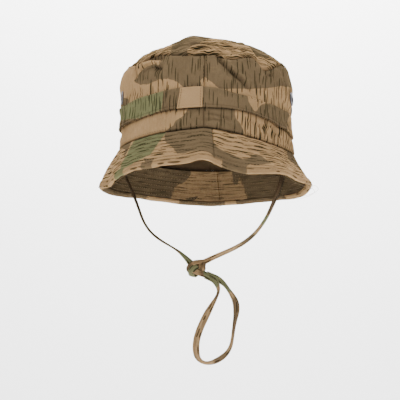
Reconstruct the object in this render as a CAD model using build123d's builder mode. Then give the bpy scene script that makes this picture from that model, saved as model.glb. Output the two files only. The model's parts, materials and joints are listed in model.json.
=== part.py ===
from build123d import *
from math import copysign, cos, pi, radians, sin, tan
import os

# Soft camouflage bucket hat with a knotted tape strap.
# Frame: millimetres, +X to the wearer's left, +Y to the back of the head, +Z up.
# Origin: centre of the head opening, in the plane of the seam between crown and brim.

os.makedirs("parts", exist_ok=True)

# ---------------------------------------------------------------- driving dimensions

# Crown, outside of the cloth. The seam plane is z = 0.
crown_half_width = 88.0
crown_half_length = 101.0
wall_break_height = 60.0
wall_break_half_width = 86.5
wall_break_half_length = 98.5
top_seam_height = 78.0
top_seam_half_width = 83.5
top_seam_half_length = 93.0

# Level lines of the soft top panel: rise over the top seam, and reach to the wearer's right
# and left and to the front and back. The highest place lies on the wearer's right.
dome_levels = [
    (6.0, 74.0, 74.5, 85.5, 89.0),
    (12.0, 67.5, 68.0, 77.5, 83.0),
    (18.0, 60.5, 60.0, 70.5, 75.5),
    (24.0, 47.0, 49.0, 56.5, 63.5),
    (29.0, 32.5, 31.5, 41.5, 50.0),
    (32.3, 25.5, 12.0, 27.5, 37.0),
    (34.0, 19.0, 1.0, 14.0, 20.0),
]
dome_squareness = 2.4
dome_points = 12
dome_cloth_drop = 1.15

# Cloth and the small clearance between two layers that are sewn together.
crown_cloth = 1.0
layer_gap = 0.1

# Brim: slopes below the horizontal at even steps round the hat, from the front centre to +X,
# and the heights of its edge from front to back, as seen from the side.
brim_slopes = [55.0, 61.0, 65.0, 63.0, 56.0, 42.0, 44.0, 42.0, 50.0, 64.0, 71.0, 59.0]
brim_front_edge = (-130.0, -38.0)
brim_front_dip = (-62.0, -42.5)
brim_middle_edge = (0.0, -40.5)
brim_rear_rise = (62.0, -34.5)
brim_rear_edge = (134.0, -30.5)
brim_seam_offset = 8.0
brim_overrun = 6.0
brim_cloth = 0.8
interlining_thickness = 0.6
interlining_edge_margin = 1.5
binding_thickness = 0.8
binding_height = 5.5

# Foliage band round the crown, the patch over its joint and its bar tacks.
band_bottom = 19.0
band_height = 22.0
band_thickness = 1.6
patch_width = 22.0
patch_offset = 0.5
patch_thickness = 0.8
patch_overhang = 0.5
tack_angles = [22.0, 67.0, 112.0, 157.0]
tack_width = 1.5
tack_height = 18.0
tack_thickness = 0.4

# Inside of the crown.
sweatband_height = 30.0
sweatband_thickness = 1.0
seam_tape_width = 10.0
seam_tape_thickness = 0.8
seam_tape_margin = 1.0
top_tape_height = 8.5

# Screened vent eyelets in the crown wall, two on each side.
vent_height = 48.3
vent_angle = 76.0
eyelet_diameter = 13.4
eyelet_flange = 1.2
eyelet_round = 0.5
eyelet_stand = 0.05
barrel_diameter = 8.6
barrel_bore = 7.6
barrel_clearance = 0.1
washer_thickness = 0.8
washer_stand = 0.35
barrel_lip_diameter = 10.0
barrel_lip_thickness = 0.4
screen_thickness = 0.3
screen_hole_diameter = 0.9
screen_hole_pitch = 1.35
screen_fit = 0.05

# Chin strap: a flat tape that hangs from an anchor tab on each side.
tape_width = 7.0
tape_thickness = 1.5
anchor_thickness = 1.2
anchor_top = 18.0
anchor_bottom = -9.0
anchor_gap = 0.4
strap_hinge_height = -5.0
strap_hinge_gap = 0.3
arc_share = 0.45

# Knot: a body of revolution about X, with the loop's swing axis through it.
knot_half_length = 10.2
knot_radius = 8.1
knot_x = -7.2
knot_z = -119.8

# ---------------------------------------------------------------- shared geometry


def crown_half_sizes(height, inset=0.0):
    """Half width and half length of the crown's ellipse at a height, inset from its outside."""
    if height <= wall_break_height:
        share = height / wall_break_height
        low = (crown_half_width, crown_half_length)
        high = (wall_break_half_width, wall_break_half_length)
    else:
        share = (height - wall_break_height) / (top_seam_height - wall_break_height)
        low = (wall_break_half_width, wall_break_half_length)
        high = (top_seam_half_width, top_seam_half_length)
    half_width = low[0] + share * (high[0] - low[0]) - inset
    half_length = low[1] + share * (high[1] - low[1]) - inset
    return half_width, half_length


def loft_crown(bottom, top, inset, mode=Mode.ADD):
    """Solid bounded by the crown's wall, inset from its outside, between two heights."""
    heights = [bottom, top]
    if bottom < wall_break_height < top:
        heights.insert(1, wall_break_height)
    sections = []
    for height in heights:
        with BuildSketch(Plane.XY.offset(height)) as section:
            Ellipse(*crown_half_sizes(height, inset))
        sections.append(section.sketch)
    loft(sections=sections, ruled=True, mode=mode)


def crown_ring(bottom, top, outer_inset, thickness):
    """A layer of the crown's wall, as a closed ring."""
    loft_crown(bottom, top, outer_inset)
    loft_crown(bottom, top, outer_inset + thickness, mode=Mode.SUBTRACT)


def crown_plane(angle, height, inset=0.0):
    """Plane square to the crown's wall. The angle runs from the front centre towards +X."""
    half_width, half_length = crown_half_sizes(height, inset)
    above_width, above_length = crown_half_sizes(height + layer_gap, inset)
    x = half_width * sin(radians(angle))
    y = -half_length * cos(radians(angle))
    rise = -(x**2) * (above_width - half_width) / layer_gap / half_width**3
    rise -= y**2 * (above_length - half_length) / layer_gap / half_length**3
    normal = Vector(x / half_width**2, y / half_length**2, rise)
    return Plane(origin=(x, y, height), x_dir=(-normal.Y, normal.X, 0), z_dir=normal)


def loft_brim(lift, mode=Mode.ADD):
    """Flaring sheet of the brim at a lift off its top face, run past both of its edges."""
    sections = []
    lowest = min(height for place, height in brim_edge)
    for height in (brim_overrun, lowest - brim_overrun):
        points = []
        for step, slope in enumerate(brim_slopes):
            turn = 2 * pi * step / len(brim_slopes)
            reach = lift / sin(radians(slope)) - height / tan(radians(slope))
            way = Vector(sin(turn) / crown_half_width, -cos(turn) / crown_half_length).normalized()
            points.append(Vector(crown_half_width * sin(turn), -crown_half_length * cos(turn)) + way * reach)
        with BuildSketch(Plane.XY.offset(height)) as section:
            with BuildLine():
                Spline(*points, periodic=True)
            make_face()
        sections.append(section.sketch)
    loft(sections=sections, ruled=True, mode=mode)


def below_edge(raised, mode):
    """Block under the brim's edge line, raised by a distance, as wide as the whole brim."""
    bottom = min(height for place, height in brim_edge) - 4 * brim_overrun
    far = 2 * crown_half_length
    with BuildSketch(Plane.YZ) as block:
        with BuildLine():
            line = Spline(*[(place, height + raised) for place, height in brim_edge])
            Polyline(line @ 1, (far, (line @ 1).Y), (far, bottom), (-far, bottom), (-far, (line @ 0).Y), line @ 0)
        make_face()
    extrude(block.sketch, amount=2 * crown_half_width, both=True, mode=mode)


def brim_ring(top_lift, thickness, raised):
    """A layer of the brim from the seam plane down to its edge line, raised by a distance."""
    loft_brim(top_lift)
    loft_brim(top_lift - thickness, mode=Mode.SUBTRACT)
    split(bisect_by=Plane.XY, keep=Keep.BOTTOM)
    below_edge(raised, Mode.SUBTRACT)


def ring_on(plane, start, thickness, diameter, bore):
    """A flat ring that starts at a height over a plane."""
    with BuildSketch(plane.offset(start)) as section:
        Circle(diameter / 2)
        Circle(bore / 2, mode=Mode.SUBTRACT)
    extrude(section.sketch, amount=thickness)


def arc_radii(points):
    """Fillet radii of a route: each arc is as large as its two straight runs allow."""
    radii = []
    for before, here, after in zip(points, points[1:], points[2:]):
        first_run = Vector(*here) - Vector(*before)
        second_run = Vector(*after) - Vector(*here)
        half_turn = radians(first_run.get_angle(second_run)) / 2
        shorter = min(first_run.length, second_run.length)
        radii.append(arc_share * shorter / tan(half_turn))
    return radii


def route(points):
    """Route of the tape's centre line in the plane y = 0, from (x, z) points."""
    return [(x, 0, z) for x, z in points]


def report_tape(name, points, path, solid):
    """Print the tape's arcs and compare its volume with its section times its length."""
    radii = ", ".join(f"{radius:.0f}" for radius in arc_radii(points))
    expected = tape_width * tape_thickness * path.length
    print(f"{name}: length {path.length:.1f} mm, arc radii {radii} mm")
    print(f"{name}: volume {solid.volume:.0f} mm3, section times length {expected:.0f} mm3")


def tape_section(path_wire):
    """Plane at the start of a tape, with its width along Y."""
    return Plane(origin=path_wire @ 0, x_dir=(0, 1, 0), z_dir=path_wire % 0)


# ---------------------------------------------------------------- crown

sides = {"left": 1, "right": -1}
side_halves = {"left": Keep.TOP, "right": Keep.BOTTOM}
vent_places = {
    "left_front": vent_angle,
    "left_rear": 180 - vent_angle,
    "right_front": -vent_angle,
    "right_rear": vent_angle - 180,
}
vent_planes = {place: crown_plane(angle, vent_height) for place, angle in vent_places.items()}

with BuildPart() as crown_side_left:
    crown_ring(0, top_seam_height, 0, crown_cloth)
    split(bisect_by=Plane.YZ, keep=side_halves["left"])
    for place in ("left_front", "left_rear"):
        with Locations(vent_planes[place]):
            Cylinder(barrel_diameter / 2 + barrel_clearance, 4 * crown_cloth, mode=Mode.SUBTRACT)
crown_side_left.part.label = "crown_side_left"
export_step(crown_side_left.part, "parts/crown_side_left.step")

with BuildPart() as crown_side_right:
    crown_ring(0, top_seam_height, 0, crown_cloth)
    split(bisect_by=Plane.YZ, keep=side_halves["right"])
    for place in ("right_front", "right_rear"):
        with Locations(vent_planes[place]):
            Cylinder(barrel_diameter / 2 + barrel_clearance, 4 * crown_cloth, mode=Mode.SUBTRACT)
crown_side_right.part.label = "crown_side_right"
export_step(crown_side_right.part, "parts/crown_side_right.step")



def loft_dome(lowered, mode=Mode.ADD):
    """Solid under the top panel's level lines, lowered by a distance."""
    seam_line = (0.0, top_seam_half_width, top_seam_half_width, top_seam_half_length, top_seam_half_length)
    sections = []
    for rise, right_reach, left_reach, front_reach, back_reach in [seam_line, *dome_levels]:
        middle = (left_reach - right_reach) / 2
        half_width = (left_reach + right_reach) / 2
        power = 2 / (dome_squareness if rise else 2.0)
        points = []
        for step in range(dome_points):
            turn = 2 * pi * step / dome_points
            across = copysign(abs(sin(turn)) ** power, sin(turn))
            along = copysign(abs(cos(turn)) ** power, -cos(turn))
            length = back_reach if along > 0 else front_reach
            points.append((middle + half_width * across, length * along))
        with BuildSketch(Plane.XY.offset(top_seam_height + rise - lowered)) as section:
            with BuildLine():
                Spline(*points, periodic=True)
            make_face()
        sections.append(section.sketch)
    loft(sections=sections, mode=mode)


with BuildPart() as crown_top:
    loft_dome(0.0)
    loft_dome(dome_cloth_drop, mode=Mode.SUBTRACT)
    split(bisect_by=Plane.XY.offset(top_seam_height), keep=Keep.TOP)
crown_top.part.label = "crown_top"
export_step(crown_top.part, "parts/crown_top.step")

# ---------------------------------------------------------------- seam tapes and sweatband

lining_inset = crown_cloth + layer_gap
top_tape_bottom = top_seam_height - top_tape_height
seam_tape_bottom = sweatband_height + seam_tape_margin
seam_tape_top = top_tape_bottom - seam_tape_margin

with BuildPart() as top_seam_tape:
    crown_ring(top_tape_bottom, top_seam_height - layer_gap, lining_inset, seam_tape_thickness)
top_seam_tape.part.label = "top_seam_tape"
export_step(top_seam_tape.part, "parts/top_seam_tape.step")

for tape_name, tape_keep in {"front_seam_tape": Keep.TOP, "back_seam_tape": Keep.BOTTOM}.items():
    with BuildPart() as seam_tape:
        crown_ring(seam_tape_bottom, seam_tape_top, lining_inset, seam_tape_thickness)
        split(bisect_by=Plane.XZ, keep=tape_keep)
        split(bisect_by=Plane.YZ.offset(seam_tape_width / 2), keep=Keep.BOTTOM)
        split(bisect_by=Plane.YZ.offset(-seam_tape_width / 2), keep=Keep.TOP)
    seam_tape.part.label = tape_name
    export_step(seam_tape.part, f"parts/{tape_name}.step")

with BuildPart() as sweatband:
    crown_ring(layer_gap, sweatband_height, lining_inset, sweatband_thickness)
sweatband.part.label = "sweatband"
export_step(sweatband.part, "parts/sweatband.step")

# ---------------------------------------------------------------- foliage band

band_top = band_bottom + band_height
band_inset = -(layer_gap + band_thickness)
patch_inset = band_inset - layer_gap - patch_thickness

with BuildPart() as foliage_band:
    crown_ring(band_bottom, band_top, band_inset, band_thickness)
foliage_band.part.label = "foliage_band"
export_step(foliage_band.part, "parts/foliage_band.step")

# The patch lies over the band's joint, with its edge beside the front seam, on the wearer's right.
with BuildPart() as band_patch:
    crown_ring(band_bottom - patch_overhang, band_top + patch_overhang, patch_inset, patch_thickness)
    split(bisect_by=Plane.XZ, keep=Keep.TOP)
    split(bisect_by=Plane.YZ.offset(-patch_offset), keep=Keep.BOTTOM)
    split(bisect_by=Plane.YZ.offset(-patch_offset - patch_width), keep=Keep.TOP)
band_patch.part.label = "band_patch"
export_step(band_patch.part, "parts/band_patch.step")

with BuildPart() as band_tacks:
    for side in sides.values():
        for angle in tack_angles:
            with BuildSketch(crown_plane(side * angle, band_bottom + band_height / 2, band_inset - layer_gap)):
                Rectangle(tack_width, tack_height)
            extrude(amount=tack_thickness)
band_tacks.part.label = "band_tacks"
export_step(band_tacks.part, "parts/band_tacks.step")

# ---------------------------------------------------------------- brim

brim_edge = [brim_front_edge, brim_front_dip, brim_middle_edge, brim_rear_rise, brim_rear_edge]
brim_seam_plane = Plane.YZ.offset(brim_seam_offset)
interlining_lift = -(brim_cloth + layer_gap)
brim_lower_lift = interlining_lift - interlining_thickness - layer_gap
brim_underside = brim_lower_lift - brim_cloth

for side_name, side_keep in side_halves.items():
    with BuildPart() as brim_upper:
        brim_ring(0, brim_cloth, 0)
        split(bisect_by=brim_seam_plane, keep=side_keep)
    brim_upper.part.label = f"brim_upper_{side_name}"
    export_step(brim_upper.part, f"parts/brim_upper_{side_name}.step")

    with BuildPart() as brim_lower:
        brim_ring(brim_lower_lift, brim_cloth, 0)
        split(bisect_by=brim_seam_plane, keep=side_keep)
    brim_lower.part.label = f"brim_lower_{side_name}"
    export_step(brim_lower.part, f"parts/brim_lower_{side_name}.step")

with BuildPart() as brim_interlining:
    brim_ring(interlining_lift, interlining_thickness, interlining_edge_margin)
brim_interlining.part.label = "brim_interlining"
export_step(brim_interlining.part, "parts/brim_interlining.step")

# The binding folds over the brim's edge, so its section is a U with the brim in its channel.
with BuildPart() as binding_channel:
    brim_ring(layer_gap, layer_gap - brim_underside + layer_gap, -layer_gap)

with BuildPart() as brim_edge_binding:
    outer_lift = layer_gap + binding_thickness
    loft_brim(outer_lift)
    loft_brim(brim_underside - outer_lift, mode=Mode.SUBTRACT)
    below_edge(binding_height, Mode.INTERSECT)
    below_edge(-outer_lift, Mode.SUBTRACT)
    add(binding_channel.part, mode=Mode.SUBTRACT)
brim_edge_binding.part.label = "brim_edge_binding"
export_step(brim_edge_binding.part, "parts/brim_edge_binding.step")

# ---------------------------------------------------------------- vent eyelets

washer_start = -(crown_cloth + washer_stand)
barrel_end = washer_start - washer_thickness - layer_gap
screen_start = -crown_cloth / 2

for place, plane in vent_planes.items():
    with BuildPart() as vent_eyelet:
        ring_on(plane, eyelet_stand, eyelet_flange, eyelet_diameter, barrel_bore)
        rims = vent_eyelet.edges().filter_by(GeomType.CIRCLE).sort_by(SortBy.RADIUS)[-2:]
        fillet(rims, eyelet_round)
        ring_on(plane, barrel_end, eyelet_stand - barrel_end, barrel_diameter, barrel_bore)
        ring_on(plane, barrel_end - barrel_lip_thickness, barrel_lip_thickness, barrel_lip_diameter, barrel_bore)
    vent_eyelet.part.label = f"vent_eyelet_{place}"
    export_step(vent_eyelet.part, f"parts/vent_eyelet_{place}.step")

    with BuildPart() as vent_washer:
        washer_bore = barrel_diameter + 2 * barrel_clearance
        ring_on(plane, washer_start - washer_thickness, washer_thickness, eyelet_diameter, washer_bore)
    vent_washer.part.label = f"vent_washer_{place}"
    export_step(vent_washer.part, f"parts/vent_washer_{place}.step")

    with BuildPart() as vent_screen:
        with BuildSketch(plane.offset(screen_start)):
            Circle(barrel_bore / 2 - screen_fit)
            Circle(screen_hole_diameter / 2, mode=Mode.SUBTRACT)
            with PolarLocations(screen_hole_pitch, 6):
                Circle(screen_hole_diameter / 2, mode=Mode.SUBTRACT)
            with PolarLocations(2 * screen_hole_pitch, 12):
                Circle(screen_hole_diameter / 2, mode=Mode.SUBTRACT)
        extrude(amount=screen_thickness)
    vent_screen.part.label = f"vent_screen_{place}"
    export_step(vent_screen.part, f"parts/vent_screen_{place}.step")

# ---------------------------------------------------------------- chin strap

# Each anchor tab is sewn to the inside of the sweatband and reaches just below the seam.
anchor_face = crown_half_sizes(anchor_top, lining_inset + sweatband_thickness)[0] - anchor_gap
strap_x = anchor_face - anchor_thickness - strap_hinge_gap - tape_thickness / 2

for side_name, side in sides.items():
    with BuildPart() as strap_anchor:
        with BuildSketch(Plane.YZ.offset(side * anchor_face)):
            with Locations((0, (anchor_top + anchor_bottom) / 2)):
                Rectangle(tape_width, anchor_top - anchor_bottom)
        extrude(amount=-side * anchor_thickness)
    strap_anchor.part.label = f"strap_anchor_{side_name}"
    export_step(strap_anchor.part, f"parts/strap_anchor_{side_name}.step")

# Centre lines of the tape as (x, z) points, from the anchor to the knot.
right_route = route([
    (-strap_x, strap_hinge_height),
    (-82.7, -16.5),
    (-81.2, -28.5),
    (-74.8, -41.0),
    (-68.3, -57.5),
    (-62.6, -73.0),
    (-55.0, -84.0),
    (-45.0, -91.8),
    (-33.5, -98.3),
    (-23.2, -104.8),
    (-13.2, -115.2),
])
left_route = route([
    (strap_x, strap_hinge_height),
    (80.4, -14.5),
    (77.2, -25.0),
    (73.2, -39.5),
    (67.2, -54.0),
    (62.2, -65.5),
    (56.2, -75.6),
    (49.2, -84.6),
    (40.0, -92.6),
    (30.0, -98.6),
    (19.5, -103.6),
    (9.0, -108.2),
    (-1.5, -113.6),
])


def strap_end(side):
    """Round end of the tape, flat against its anchor tab, on the swing axis."""
    with BuildSketch(Plane.YZ.offset(side * strap_x - tape_thickness / 2)) as section:
        with Locations((0, strap_hinge_height)):
            Circle(tape_width / 2)
    extrude(section.sketch, amount=tape_thickness)


with BuildPart() as chin_strap_right:
    with BuildLine() as right_path:
        FilletPolyline(*right_route, radius=arc_radii(right_route))
    with BuildSketch(tape_section(right_path.wires()[0])):
        Rectangle(tape_width, tape_thickness)
    sweep(path=right_path.wires()[0])
    report_tape("chin_strap_right", right_route, right_path.wires()[0], chin_strap_right.part)
    strap_end(sides["right"])
chin_strap_right.part.label = "chin_strap_right"
export_step(chin_strap_right.part, "parts/chin_strap_right.step")

with BuildPart() as chin_strap_left:
    with BuildLine() as left_path:
        FilletPolyline(*left_route, radius=arc_radii(left_route))
    with BuildSketch(tape_section(left_path.wires()[0])):
        Rectangle(tape_width, tape_thickness)
    sweep(path=left_path.wires()[0])
    report_tape("chin_strap_left", left_route, left_path.wires()[0], chin_strap_left.part)
    strap_end(sides["left"])
chin_strap_left.part.label = "chin_strap_left"
export_step(chin_strap_left.part, "parts/chin_strap_left.step")

# The knot is a spheroid about X, with a flat where each strand runs into it.
knot_centre = (knot_x, 0, knot_z)
with BuildPart() as chin_strap_knot:
    with Locations(knot_centre):
        Sphere(1)
    scale(by=(knot_half_length, knot_radius, knot_radius), about=knot_centre)
    split(bisect_by=Plane(origin=right_path.wires()[0] @ 1, z_dir=right_path.wires()[0] % 1), keep=Keep.TOP)
    split(bisect_by=Plane(origin=left_path.wires()[0] @ 1, z_dir=left_path.wires()[0] % 1), keep=Keep.TOP)
chin_strap_knot.part.label = "chin_strap_knot"
export_step(chin_strap_knot.part, "parts/chin_strap_knot.step")

# The loop leaves the knot and comes back to it, its two ends side by side.
loop_route = route([
    (1.4, -125.0),
    (8.5, -128.0),
    (14.0, -130.5),
    (19.2, -134.6),
    (23.4, -139.8),
    (27.6, -145.8),
    (31.6, -153.0),
    (32.3, -162.6),
    (30.1, -175.0),
    (28.7, -187.6),
    (27.2, -196.6),
    (23.0, -204.2),
    (15.2, -210.3),
    (6.2, -213.9),
    (-0.8, -213.0),
    (-5.8, -208.4),
    (-7.6, -200.6),
    (-7.0, -190.4),
    (-4.0, -180.4),
    (1.4, -168.2),
    (6.8, -157.8),
    (11.9, -148.8),
    (14.3, -142.8),
    (13.4, -137.2),
    (11.0, -132.8),
    (7.76, -129.75),
    (0.66, -126.75),
])

with BuildPart() as chin_strap_loop:
    with BuildLine() as loop_path:
        FilletPolyline(*loop_route, radius=arc_radii(loop_route))
    with BuildSketch(tape_section(loop_path.wires()[0])):
        Rectangle(tape_width, tape_thickness)
    sweep(path=loop_path.wires()[0])
    report_tape("chin_strap_loop", loop_route, loop_path.wires()[0], chin_strap_loop.part)
chin_strap_loop.part.label = "chin_strap_loop"
export_step(chin_strap_loop.part, "parts/chin_strap_loop.step")
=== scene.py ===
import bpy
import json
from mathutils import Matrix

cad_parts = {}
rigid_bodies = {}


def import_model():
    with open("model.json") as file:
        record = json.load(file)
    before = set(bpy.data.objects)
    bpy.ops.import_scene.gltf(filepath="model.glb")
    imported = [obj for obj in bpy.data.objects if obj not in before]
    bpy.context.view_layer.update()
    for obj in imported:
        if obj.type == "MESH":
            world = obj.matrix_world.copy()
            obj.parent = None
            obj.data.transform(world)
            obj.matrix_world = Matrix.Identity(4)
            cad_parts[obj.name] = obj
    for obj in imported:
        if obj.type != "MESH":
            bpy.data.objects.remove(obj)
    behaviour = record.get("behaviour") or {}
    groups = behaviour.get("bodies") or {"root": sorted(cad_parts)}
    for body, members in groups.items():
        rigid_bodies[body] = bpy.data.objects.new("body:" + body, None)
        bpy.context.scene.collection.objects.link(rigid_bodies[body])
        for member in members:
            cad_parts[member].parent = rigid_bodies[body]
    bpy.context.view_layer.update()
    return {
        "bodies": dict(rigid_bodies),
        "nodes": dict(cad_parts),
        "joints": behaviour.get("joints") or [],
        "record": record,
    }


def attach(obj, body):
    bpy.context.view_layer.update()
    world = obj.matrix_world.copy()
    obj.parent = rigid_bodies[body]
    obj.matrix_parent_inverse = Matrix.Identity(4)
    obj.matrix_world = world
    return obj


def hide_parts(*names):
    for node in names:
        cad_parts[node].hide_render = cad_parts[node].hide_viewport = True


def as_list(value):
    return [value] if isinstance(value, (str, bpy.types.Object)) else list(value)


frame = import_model()

import json
import math

import bmesh
import bpy
import numpy as np
from mathutils import Matrix, Vector

bl_info = {
    "name": "Camouflage Bucket Hat",
    "version": (1, 0, 0),
    "blender": (4, 5, 0),
    "location": "3D View > Sidebar > Hat",
    "description": "Dresses the hat's solids in printed cloth, tape, thread and metal",
    "category": "Object",
}

MM = 0.001
ANGLE_MM = 1.64  # length of one degree round the crown's wall
BRIM_SEAMS = (5.6, 174.4)  # angles of the seams across the brim
VENTS = ((76, "left_front"), (104, "left_rear"), (-76, "right_front"), (-104, "right_rear"))
VENT_HEIGHT = 48.3
CROWN_HALF_WIDTH = 88
CROWN_HALF_LENGTH = 101
WALL_BREAK = 60  # height where the wall starts to lean in more
TOP_SEAM = 78  # height of the top seam before it sags
DOME_FOOT = 59.7  # height from which the dome's round section is measured
DOME_RISE = 52.3
TOP_REACH = 95  # cloth from the middle of the top panel to its seam
BRIM_WIDTH = 45  # along its slope, where it is full
ROW_GAP = 6.0  # between the brim's rows of stitching
BAND_HEIGHT = 21
PATCH_WIDTH = 26
PATCH_HEIGHT = 22
LINING_OUT = -1.15  # the crown cloth's inner face
SEAM_TAPE = 0.8

# ---------------------------------------------------------------- sizes and colours a user may change


def colour_property(name, description, red, green, blue):
    """A colour given as it looks on screen, from 0 to 255."""
    linear = [((c / 255 + 0.055) / 1.055) ** 2.4 for c in (red, green, blue)]
    return bpy.props.FloatVectorProperty(
        name=name, description=description, subtype="COLOR", size=3, min=0, max=1, default=linear)


def length_property(name, description, millimetres):
    """A length whose default is given in millimetres."""
    return bpy.props.FloatProperty(
        name=name, description=description, unit="LENGTH", subtype="DISTANCE", default=millimetres * MM)


class HatSizes(bpy.types.PropertyGroup):
    """Sizes that a user may change."""

    cloth: length_property("Cloth", "Thickness of the crown's cloth", 1.0)
    brim_cloth: length_property("Brim cloth", "Thickness of the brim's cloth", 0.8)
    stitch_length: length_property("Stitch", "Length of one stitch on show", 2.1)
    stitch_pitch: length_property("Stitch pitch", "Distance from one stitch to the next", 3.1)
    thread: length_property("Thread", "Thickness of the sewing thread", 0.5)
    row_gap: length_property("Row gap", "Distance between the brim's rows of stitching", ROW_GAP)
    tape_width: length_property("Tape width", "Width of the chin strap's tape", 7.0)
    tape_thickness: length_property("Tape thickness", "Thickness of the chin strap's tape", 1.0)


class HatColours(bpy.types.PropertyGroup):
    """Colours that a user may change."""

    tan: colour_property("Tan", "Ground colour of the print", 152, 123, 88)
    brown: colour_property("Brown", "Brown of the print", 101, 85, 63)
    green: colour_property("Green", "Green of the print", 104, 103, 72)
    rain: colour_property("Rain", "Short dark strokes over the print", 31, 30, 14)
    thread: colour_property("Thread", "Sewing thread", 104, 86, 60)
    tape: colour_property("Tape", "Brown of the chin strap's tape", 99, 80, 57)
    lining: colour_property("Lining", "Sweatband and seam tapes", 88, 72, 52)
    metal: colour_property("Metal", "Lacquered eyelets", 72, 68, 72)


# ---------------------------------------------------------------- the hat's shape, in millimetres
# Angles are in degrees from the front centre towards the wearer's left.


def unit(vectors):
    """Directions of vectors."""
    return vectors / np.linalg.norm(vectors, axis=-1, keepdims=True)


def bell(distance, width):
    """1 at no distance, fading to either side."""
    return np.exp(-((distance / width) ** 2))


def turn_from(angle, middle):
    """Degrees from one angle to another the short way round, from -180 to 180."""
    return (angle - middle + 180) % 360 - 180


def distances_along(line):
    """How far along a line each of its points lies."""
    return np.concatenate([[0], np.cumsum(np.linalg.norm(np.diff(line, axis=0), axis=1))])


def curve_value(places, values, slopes, at):
    """Value at some places of the smooth curve through points with a slope at each."""
    i = np.clip(np.searchsorted(places, at, side="right") - 1, 0, len(places) - 2)
    span = places[i + 1] - places[i]
    k = (at - places[i]) / span
    rise = values[i + 1] - values[i]
    a = slopes[i] * span - rise
    b = -slopes[i + 1] * span + rise
    return values[i] + k * rise + k * (1 - k) * ((1 - k) * a + k * b)


def round_curve(*points):
    """A smooth closed curve through (angle, value) points, as a function of angles."""
    knots = np.array(sorted(points), float)
    angles = np.concatenate([knots[-2:, 0] - 360, knots[:, 0], knots[:2, 0] + 360])
    values = np.concatenate([knots[-2:, 1], knots[:, 1], knots[:2, 1]])
    slopes = np.gradient(values, angles)

    def at(degrees):
        turned = (np.asarray(degrees, float) - knots[0, 0]) % 360 + knots[0, 0]
        return curve_value(angles, values, slopes, turned)

    return at


def line_curve(*points):
    """A smooth open curve through (place, value) points, level past its ends."""
    places, values = np.array(sorted(points), float).T
    slopes = np.gradient(values, places)

    def at(place):
        return curve_value(places, values, slopes, np.clip(np.asarray(place, float), places[0], places[-1]))

    return at


seam_height = round_curve(
    (-180, 0), (-140, 0), (-110, -1), (-90, -2.4), (-73, -3.3), (-56, -3.7), (-40, -3.3), (-28, -2.2),
    (-15, -1.2), (-5, 0), (0, 0.7), (7, -0.2), (16, -2.2), (30, -4.8), (45, -7.1), (62, -7.6), (78, -6.2),
    (95, -4), (120, -1.5), (150, 0))
band_low_height = round_curve(
    (-180, 19), (-130, 19), (-100, 18.6), (-81, 18), (-60, 14.9), (-46, 15.6), (-27, 18), (-15, 19.4),
    (0, 20), (13, 19.9), (30, 17.9), (46, 14.3), (57, 11), (72, 9.8), (88, 12.5), (105, 16), (135, 19))
band_high_height = round_curve(
    (-180, 41), (-130, 41), (-100, 40), (-83, 38.7), (-60, 35.8), (-46, 36.4), (-36, 36.9), (-27, 38.2),
    (-15, 39.9), (0, 40.6), (8, 39.4), (18, 36), (30, 33.9), (41, 31.6), (57, 31.4), (72, 32.4),
    (88, 35.5), (105, 38.5), (135, 41))
top_height = round_curve(
    (-180, 78), (-130, 78), (-90, 78), (-76, 77.8), (-64, 76.6), (-56, 74.5), (-50, 74.5), (-45, 76.5),
    (-40, 77.6), (-35, 77.5), (-29, 76.8), (-24, 75.7), (-17, 74.1), (-10, 72.8), (-4, 72.4), (0, 73.4),
    (6, 74.3), (9, 73), (12, 70.4), (16, 70), (22, 71.8), (29, 74.9), (32, 75), (35, 72.5), (39, 66.5),
    (43, 65.4), (47, 66.9), (53, 71.7), (60, 77), (69, 80.2), (79, 80.8), (100, 80), (140, 78.5))
brim_slope = round_curve(
    (-180, 43), (-150, 40), (-140, 40), (-132, 43), (-124, 46), (-116, 47), (-108, 48.9), (-100, 52),
    (-92, 58), (-84, 65), (-76, 70.9), (-68, 72), (-60, 69.6), (-52, 66.1), (-44, 63.2), (-39, 59.3),
    (-33, 57.5), (-27, 56.6), (-19, 55), (-10, 54.5), (-5, 53.4), (-1, 51.2), (2, 51.9), (4.5, 54),
    (7, 57.2), (10, 60), (13, 62.3), (16, 63.1), (20, 63), (25, 61.3), (32, 57.3), (38, 54), (45, 54.9),
    (52, 57.8), (60, 59.6), (68, 58.2), (76, 56.8), (84, 55), (92, 54), (100, 52.7), (108, 51.8),
    (116, 50.6), (124, 49), (132, 45.6), (140, 42), (155, 41))
brim_bend = round_curve(
    (-180, 0.5), (-120, 1.6), (-88, 2.4), (-50, 0.9), (0, 0.5), (40, 0), (70, -1.8), (100, -2),
    (130, -0.5), (150, 0.5))
brim_curl = round_curve(
    (-180, 0), (-140, 0), (-118, 1.5), (-104, 2.5), (-90, 1.5), (-75, 1), (-50, 0), (0, 0), (40, 0),
    (62, 1), (78, 2.4), (92, 3.4), (104, 3.6), (116, 3), (130, 1.5), (145, 0))
brim_width = round_curve(
    (-180, 45), (-150, 45), (-132, 43.8), (-116, 43), (-100, 40.6), (-92, 39.9), (-84, 40.6), (-76, 41.2),
    (-68, 40.4), (-60, 39), (-52, 39.2), (-44, 41), (-34, 44), (-20, 45), (0, 45), (26, 45), (36, 43),
    (45, 40), (52, 38), (60, 37), (76, 34.8), (92, 34), (104, 36), (116, 39), (132, 41.6), (150, 44))


def smooth(value, start, end):
    """0 before start, 1 after end, rounded in between."""
    k = np.clip((value - start) / (end - start), 0, 1)
    return k * k * (3 - 2 * k)


def near(angle, middle, reach):
    """1 at an angle, fading to 0 at its reach on either side."""
    k = np.clip(1 - np.abs(turn_from(np.asarray(angle, float), middle)) / reach, 0, 1)
    return k * k * (3 - 2 * k)


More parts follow.
